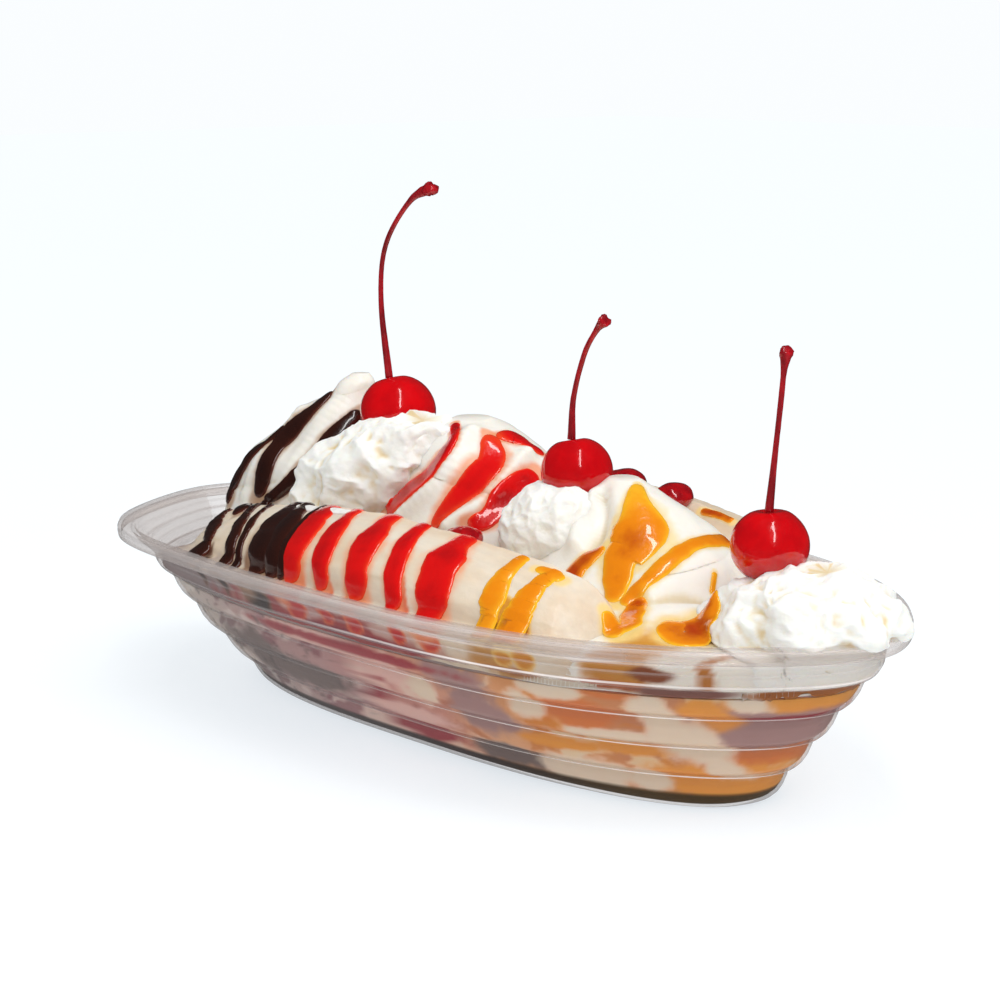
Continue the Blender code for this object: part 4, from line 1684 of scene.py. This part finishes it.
SCOOPS = (
    SoftServe(
        "scoop_left",
        (
            (28.4, -62, 1, 24, 25),
            (35, -65, 1, 27, 23),
            (44, -67, 2, 28.8, 20.5),
            (54, -66, 2, 21.8, 17.2),
            (60, -62.8, 2.7, 16.5, 12.5),
            (66.5, -61, 3, 11, 9),
            (70.4, -57.3, 3.8, 6.4, 5.6),
            (73.8, -55.2, 4.2, 4.4, 4.0),
            (75.8, -54.6, 4.4, 2.2, 2.2),
        ),
        turns=2.4,
        folds=(
            Fold(1.3, ((-55, 0, 71, 3), (-57, -9, 60, 3), (-61, -17, 47, 2))),
            Fold(1.0, ((-67, -5, 66, 2), (-70, -12, 57, 2), (-74, -17, 46, 2))),
        ),
    ),
    SoftServe(
        "scoop_middle",
        (
            (28.4, -9, 4, 29, 22.5),
            (38, -9, 4, 30.5, 23.5),
            (46, -9, 4, 29, 22.5),
            (55, -9, 4, 24.5, 18.5),
            (62.5, -10, 3.5, 17.5, 13.5),
            (67, -11.4, 3.3, 11.5, 9.5),
            (69.9, -12, 3.2, 4.5, 4),
        ),
        turns=-2.2,
        folds=(
            Fold(1.8, ((-5, -3, 68, 2.4), (-5, -12, 58, 2.7), (-14, -17, 48, 2))),
            Fold(2.0, ((7, 3, 64, 2), (7, -9, 55, 2), (2, -16, 49, 2))),
            Fold(-0.8, ((3, -4, 64, 3), (1, -11, 58, 3), (-2, -16, 51, 2.6))),
        ),
    ),
    SoftServe(
        "scoop_right",
        (
            (28.4, 54, 0, 41, 38),
            (36, 54, 0, 39, 36),
            (41, 45, 3, 28.5, 25),
            (49, 43, 4.8, 21.5, 17),
            (55, 41, 4.2, 14.2, 11),
            (59.3, 38.4, 3.6, 9.4, 7.5),
            (62.6, 37.6, 3.4, 3.5, 3.2),
        ),
        turns=2.1,
        pressed=True,
        folds=(
            Fold(2.2, ((35, -4, 60, 2.2), (35, -8, 55, 2.2), (38, -11, 50, 2.2))),
            Fold(-2.2, ((37, -3, 60, 1.8), (41, -7, 56, 2), (43, -10, 50, 1.8))),
            Fold(2.0, ((66, 0, 47, 6), (62, -8, 45, 5), (61, -12, 44, 4))),
            Fold(2.0, ((72, -10, 40, 5), (68, -17, 40, 5), (72, -25, 38, 4))),
            Fold(-1.2, ((76, -4, 45, 2), (68, -9, 42.5, 2), (62, -16, 42, 2))),
        ),
        patches=(
            Patch((0.62, 0.27, 0.03), 76, 35, 6, 6),
            Patch((0.30, 0.07, 0.01), 82, 33.5, 4, 1.6),
            Patch((0.55, 0.20, 0.02), 91, 35, 1.3, 5),
            Patch((0.50, 0.13, 0.03), 73, 30.3, 9, 1.3),
            Patch((0.30, 0.12, 0.09), 86, 29.3, 8, 1.6),
        ),
    ),
)

CREAMS = (
    Whipped(
        "cream_left",
        (
            (42, -40, -11, 11, 9),
            (46, -39.5, -11.5, 14.5, 12),
            (50, -38, -10.5, 17, 13),
            (55, -36, -9, 18.6, 14),
            (60, -32, -7.5, 17.8, 13.5),
            (65, -26.5, -6, 14.8, 11),
            (68, -22, -5.5, 11, 7.5),
            (69.6, -20, -5, 6, 4),
        ),
        seed=1.0,
        ridge_depth=0.05,
        lump=10.0,
        curl=2.2,
        ruffle=0.6,
    ),
    Whipped(
        "cream_middle",
        (
            (40, 24, -7, 4, 3.5),
            (43, 24, -7, 8, 6.5),
            (48, 24.5, -7, 10.5, 8.5),
            (54, 25, -6, 10.6, 8.5),
            (58, 25.5, -5, 9, 7),
            (60.2, 26, -4.5, 5, 4),
        ),
        seed=2.0,
        ridge_count=3,
        ridge_depth=0.10,
        turn=0.3,
        lump=9.0,
        curl=1.1,
        ruffle=0.5,
    ),
    Whipped(
        "cream_right",
        (
            (28.4, 89, -1, 17, 15),
            (35, 90, -1, 19, 16),
            (38.5, 91.3, -0.2, 20.8, 17.3),
            (40.5, 92, 0.2, 21.3, 18.2),
            (43, 93.4, 0.2, 20, 17.6),
            (46, 94.4, 0, 17.6, 16),
            (48.6, 95.5, -1, 13.5, 12.5),
            (50.8, 97, -0.5, 9, 8.5),
            (52.4, 98.5, 0, 4, 3.5),
        ),
        pressed=True,
        seed=3.0,
        ridge_count=8,
        ridge_depth=0.06,
        turn=0.6,
        lump=9.5,
        curl=1.9,
        ruffle=0.7,
        patches=(Patch((0.43, 0.13, 0.01), 101, 28.8, 8, 1.4),),
    ),
)

RED_SOAK, ORANGE_SOAK = (0.62, 0.01, 0.008), (0.80, 0.16, 0.05)
BROWN_SOAK, TAN_SOAK = (0.03, 0.010, 0.007), (0.20, 0.08, 0.04)
AMBER_SOAK, YELLOW_SOAK = (0.70, 0.28, 0.02), (0.85, 0.55, 0.16)

BANANAS = (
    Banana(
        "banana_front",
        1,
        start=-73.5,
        round_end=12.0,
        bow=6.6,
        patches=(
            Patch((0.33, 0.25, 0.25), -62, 31, 30, 7),
            Patch((0.42, 0.05, 0.05), -4, 31.5, 36, 5),
            Patch((0.30, 0.02, 0.05), 6, 30.6, 34, 1.3),
            Patch((0.62, 0.36, 0.33), -8, 33.6, 8, 1.5),
            Patch((0.66, 0.42, 0.36), 22, 33.8, 7, 1.6),
            Patch((0.60, 0.30, 0.08), 50, 34, 5.5, 6),
            Patch((0.48, 0.18, 0.05), 54, 30.4, 7, 1.3),
        ),
        stains=(
            Stain(
                BROWN_SOAK,
                TAN_SOAK,
                ((-52.5, -42.5, 43, 1.8), (-51, -45, 39, 1.8), (-48, -48, 34, 1.8), (-47, -49, 29, 1.5)),
            ),
            Stain(
                BROWN_SOAK,
                TAN_SOAK,
                ((-43.5, -43.5, 43, 1.8), (-42, -46, 39, 1.8), (-38, -49, 34, 1.8), (-37, -50, 29, 1.5)),
            ),
            Stain(
                BROWN_SOAK,
                TAN_SOAK,
                ((-28.5, -44.5, 43, 6), (-27, -47, 39, 6), (-24, -49, 34, 5), (-22, -50, 29, 4)),
            ),
            Stain(RED_SOAK, ORANGE_SOAK, ((-14.5, -45.5, 43, 3), (-13, -48, 39, 3), (-9, -50, 34, 3.5))),
            Stain(RED_SOAK, ORANGE_SOAK, ((-3.5, -45.5, 43, 2.2), (-2, -48, 39, 2.2), (2, -50, 34, 2.4))),
            Stain(RED_SOAK, ORANGE_SOAK, ((6.5, -45.5, 43, 3), (8, -48, 39, 3), (11, -50, 34, 3))),
            Stain(RED_SOAK, ORANGE_SOAK, ((20.5, -44.5, 43, 2.2), (22, -47, 39, 2.2), (25, -49, 34, 2.4))),
            Stain(RED_SOAK, ORANGE_SOAK, ((29.5, -43.5, 43, 3.4), (31, -46, 39, 3.4), (34, -48, 34, 3.2))),
            Stain(AMBER_SOAK, YELLOW_SOAK, ((47.5, -40.5, 43, 2.2), (49, -43, 39, 2.2), (53, -45, 34, 2.2))),
            Stain(AMBER_SOAK, YELLOW_SOAK, ((52.5, -39.5, 43, 2.6), (54, -42, 39, 2.6), (58, -44, 34, 2.6))),
        ),
    ),
    Banana("banana_back", -1, start=-60.0, axis_height=38.6),
)

VANILLA, AMBER, RUST = (0.76, 0.62, 0.48), (0.58, 0.24, 0.04), (0.50, 0.15, 0.04)
BERRY_RED, PINK, MAUVE, COCOA = (0.28, 0.03, 0.04), (0.60, 0.38, 0.33), (0.30, 0.18, 0.17), (0.15, 0.11, 0.10)

SWIRLS = (  # a colour, then places along the boat and up the wall, with their reach and rise
    (MAUVE, ((92, 20, 10, 7), (34, 25, 9, 4), (36, 17, 9, 5))),
    (COCOA, ((-44, 15, 13, 6), (-26, 13, 16, 4), (34, 6, 12, 3))),
    (PINK, ((8, 22, 10, 3), (10, 11, 15, 2), (-15, 26, 14, 3))),
    (RUST, ((62, 22, 9, 4), (71, 28, 7, 1.5), (90, 13, 7, 2))),
    (AMBER, ((82, 6, 17, 5), (53, 13, 10, 1.5), (68, 14, 9, 1.5), (87, 24, 4, 4), (98, 27, 8, 2))),
    (BERRY_RED, ((-2, 26, 34, 1.3), (4, 19, 4, 1.2), (1, 14, 4, 1.6), (8, 6, 12, 2), (98, 23, 8, 0.8))),
    (VANILLA, ((21, 20, 4, 3), (50, 22, 4, 3.5), (59, 27, 7, 2), (55, 6, 11, 4.5), (66, 17, 9, 1.6))),
    (VANILLA, ((78, 24, 4, 4), (80, 17, 5.5, 5.5), (83, 10, 3, 3), (94, 27, 3, 2), (68, 6, 4, 2.6))),
)

CONTENTS = Contents(patches=tuple(Patch(colour, *place) for colour, places in SWIRLS for place in places))

CHERRIES = (
    Cherry(
        "left",
        (-35, 0, 69),
        9.0,
        ((-3.2, 0, 7.6), (-6, 0, 26), (-4, 0, 39), (5, 0, 49.6), (13.5, 0, 53.2)),
    ),
    Cherry(
        "middle",
        (26.4, 0, 62.8),
        7.9,
        ((-1.8, 0, 6.8), (-1.2, 0, 16), (2.2, 0, 26), (6, 0, 31.5), (8.6, 0, 33.8)),
    ),
    Cherry(
        "right",
        (83.1, 0, 55),
        8.1,
        ((-0.4, 0, 7), (0.8, 0, 18), (2.2, 0, 30), (2.8, 0, 36), (3.4, 0, 40.4)),
    ),
)

BERRIES = (
    Berry("front", (12.5, -20.5, 48.4), (4.8, 3.7, 2.7)),
    Berry("far_left", (14, 27, 54.6), (5.6, 4.8, 4.0)),
    Berry("far_right", (28.6, 28, 53.8), (4.6, 4.2, 3.4)),
)

# Degrees from the crest of the banana, and the share of the stripe's width there.
OVER_BANANA = ((-12, 0.6), (14, 0.8), (38, 1.1), (62, 1.05), (85, 1.0))


def over_banana(
    top: float, foot: float, width: float, depth: float = 1.0
) -> tuple[tuple[float, ...], ...]:
    """Route of a stripe of sauce over the near banana, from its cut edge to the wall.

    Args:
        top: Place along the boat where the stripe starts.
        foot: Place along the boat where it meets the wall.
        width: Half width in millimetres.
        depth: Share of the sauce's full thickness.

    Returns:
        Rows of x, y, z, half width and depth.
    """
    rows = []
    for step, (degrees, share) in enumerate(OVER_BANANA):
        turn = math.radians(degrees)
        x = top + (foot - top) * step / (len(OVER_BANANA) - 1)
        y = -Banana.offset - Banana.radius * math.sin(turn)
        z = Banana.axis_height + Banana.radius * math.cos(turn)
        rows.append((x, y, z, width * share, depth))
    return tuple(rows)


SAUCES: tuple[Sauce, ...] = (
    Sauce(
        Topping.CHOCOLATE,
        "ice_cream_and_sauce",
        (
            ((-68, -8, 62, 1.3), (-73, -12, 57, 1.9), (-80, -14, 50, 2.2),
             (-84, -13, 45, 2.2), (-81, -16, 43, 2)),
            ((-60, 0, 71, 1.5), (-61, -5, 67, 2.5), (-66, -10, 60, 2.8),
             (-67, -16, 52, 2.6), (-68, -18, 46, 2.5)),
            ((-50, 1, 67, 1.7), (-53, -6, 61, 2), (-55, -12, 55, 1.8),
             (-60, -17, 48, 1.7), (-65, -18, 46, 1.6)),
            ((-66, -19, 45, 2.2), (-60, -26, 45, 2.2), (-54, -32, 46, 2.2)),
            over_banana(-70, -52, 2.2),
            over_banana(-54, -40, 2.3),
            over_banana(-47, -36, 1.1),
            over_banana(-35, -27, 4.4),
            over_banana(-31, -21, 3.2),
            over_banana(-24, -18, 1.4),
        ),
        crown=0.95,
        seed=1,
    ),
    Sauce(
        Topping.STRAWBERRY,
        "ice_cream_and_sauce",
        (
            over_banana(-21, -14, 3.8),
            over_banana(-12, -3, 2.6),
            over_banana(1, 9, 3.5),
            over_banana(11, 21, 2.4),
            over_banana(25, 32, 4.3),
            ((-12, -2, 69, 1, 1.2), (-6, -8, 66, 1.8, 1.3), (-9, -13, 59, 2.6, 1.3), (-20, -16, 49, 2.7, 1)),
            ((-2, -1, 67, 1.8, 0.3), (3, -4, 63, 3.2, 0.8), (3, -8, 59, 4.2, 1), (-2, -17, 48, 2, 0.4)),
            ((0, 0, 67, 1.8, 0.3), (1, 4, 66, 2.9, 1.1), (5, 6, 65, 2.2, 1.1), (6, 9, 63, 1.5, 1)),
            ((11, 2, 60, 2.3), (11, -5, 57, 3), (9, -11, 51, 2.4), (6, -14, 50, 1.8, 0.8)),
        ),
        crown=0.7,
        seed=2,
    ),
    Sauce(
        Topping.CARAMEL,
        "ice_cream_and_sauce",
        (
            over_banana(42, 48, 2.4, 0.7),
            over_banana(52, 54, 2.9, 0.8),
            ((47, -31, 49, 1.2, 0.6), (50, -30, 48, 1.5, 0.7), (54, -30, 47, 1.7, 0.7)),
            ((46, -10, 50, 1.6, 1.2), (43, -15, 46, 2.5, 1.3), (43, -18, 43, 2.2, 1.2)),
            ((42, 3, 61, 1.1, 0.3), (46, -1, 59, 2.7, 0.5), (50, -4, 55, 5.4, 0.8), (52, -8, 51, 6, 1.2),
             (52, -12, 48, 3.8, 0.9), (57, -18, 41, 1.8, 0.7)),
            ((60, 14, 51, 1.9, 1.2), (61, 0, 51, 2.1, 0.8), (61, -9, 48, 2.2, 0.7), (59, -18, 41, 1.7, 0.8)),
            ((63, -27, 42, 1.5, 0.6), (66, -27, 39, 2.3, 0.8), (69, -29, 38, 2, 0.8)),
            ((61, -15, 43, 1.6, 1.3), (65, -21, 40, 3, 1.1), (70, -27, 39, 3, 0.9)),
            ((76, -7, 45, 1.2, 0.6), (78, -13, 42, 3.4, 1.2), (78, -19, 38, 5.6, 1.2),
             (71, -18, 38, 2.6, 0.8)),
            ((68, 0, 47, 0.6, 0.5), (70, -3, 43, 0.6, 0.6)),
            ((37, 28, 52, 1, 1.2), (42, 28, 52, 1.1, 1.3), (47, 28, 51, 1.1, 1.2)),
        ),
        crown=0.65,
        seed=3,
    ),
    Sauce(
        Topping.CREAM,
        "whipped_cream",
        (((-36, -32, 50, 1), (-22, -33, 51, 1.5), (-9, -33, 52, 0.7)),),
        crown=0.8,
        seed=4,
        waviness=0.6,
    ),
)


def build_food(boat: Boat) -> list[bpy.types.Object]:
    """Make everything that sauce can run over."""
    ice_cream_finish = Painted("ice_cream", roughness=0.42, grain_size=1.4, grain_height=0.10, softness=0.3)
    ice_cream = ice_cream_finish.material()
    whipped = Painted("whipped_cream", roughness=0.6, grain_size=1.0, grain_height=0.12, coat=0.0).material()
    banana = Painted("banana", roughness=0.5, grain_size=1.2, grain_height=0.10, softness=0.2).material()
    melted = Painted("ice_cream_and_sauce", roughness=0.35, grain_size=2.0, grain_height=0.08).material()
    films = [film for sauce in SAUCES for film in sauce.films()]
    pieces = [CONTENTS.build(boat, melted)]
    pieces += [half.build(boat, banana, films) for half in BANANAS]
    pieces += [scoop.build(boat, "ice_cream", ice_cream, films) for scoop in SCOOPS]
    pieces += [cream.build(boat, "whipped_cream", whipped, ()) for cream in CREAMS]
    flesh = BerryFlesh("strawberry").material()
    pieces += [berry.build(flesh) for berry in BERRIES]
    return pieces


def main() -> None:
    """Build the set and the banana split, piece by piece."""
    logging.basicConfig(level=logging.INFO, format="%(name)s: %(message)s")
    Studio().build()
    boat = Boat()
    boat.build()
    pieces = build_food(boat)
    skin, stem_skin = CherrySkin("cherry").material(), StemSkin("cherry_stem").material()
    for cherry in CHERRIES:
        cherry.build(skin, stem_skin)
    if SAUCES:
        heap = Heap().build(pieces)
        tree = stream_tree()
        for sauce in SAUCES:
            sauce.build(heap, tree)
        bpy.data.objects.remove(heap)


if __name__ == "__main__":
    main()
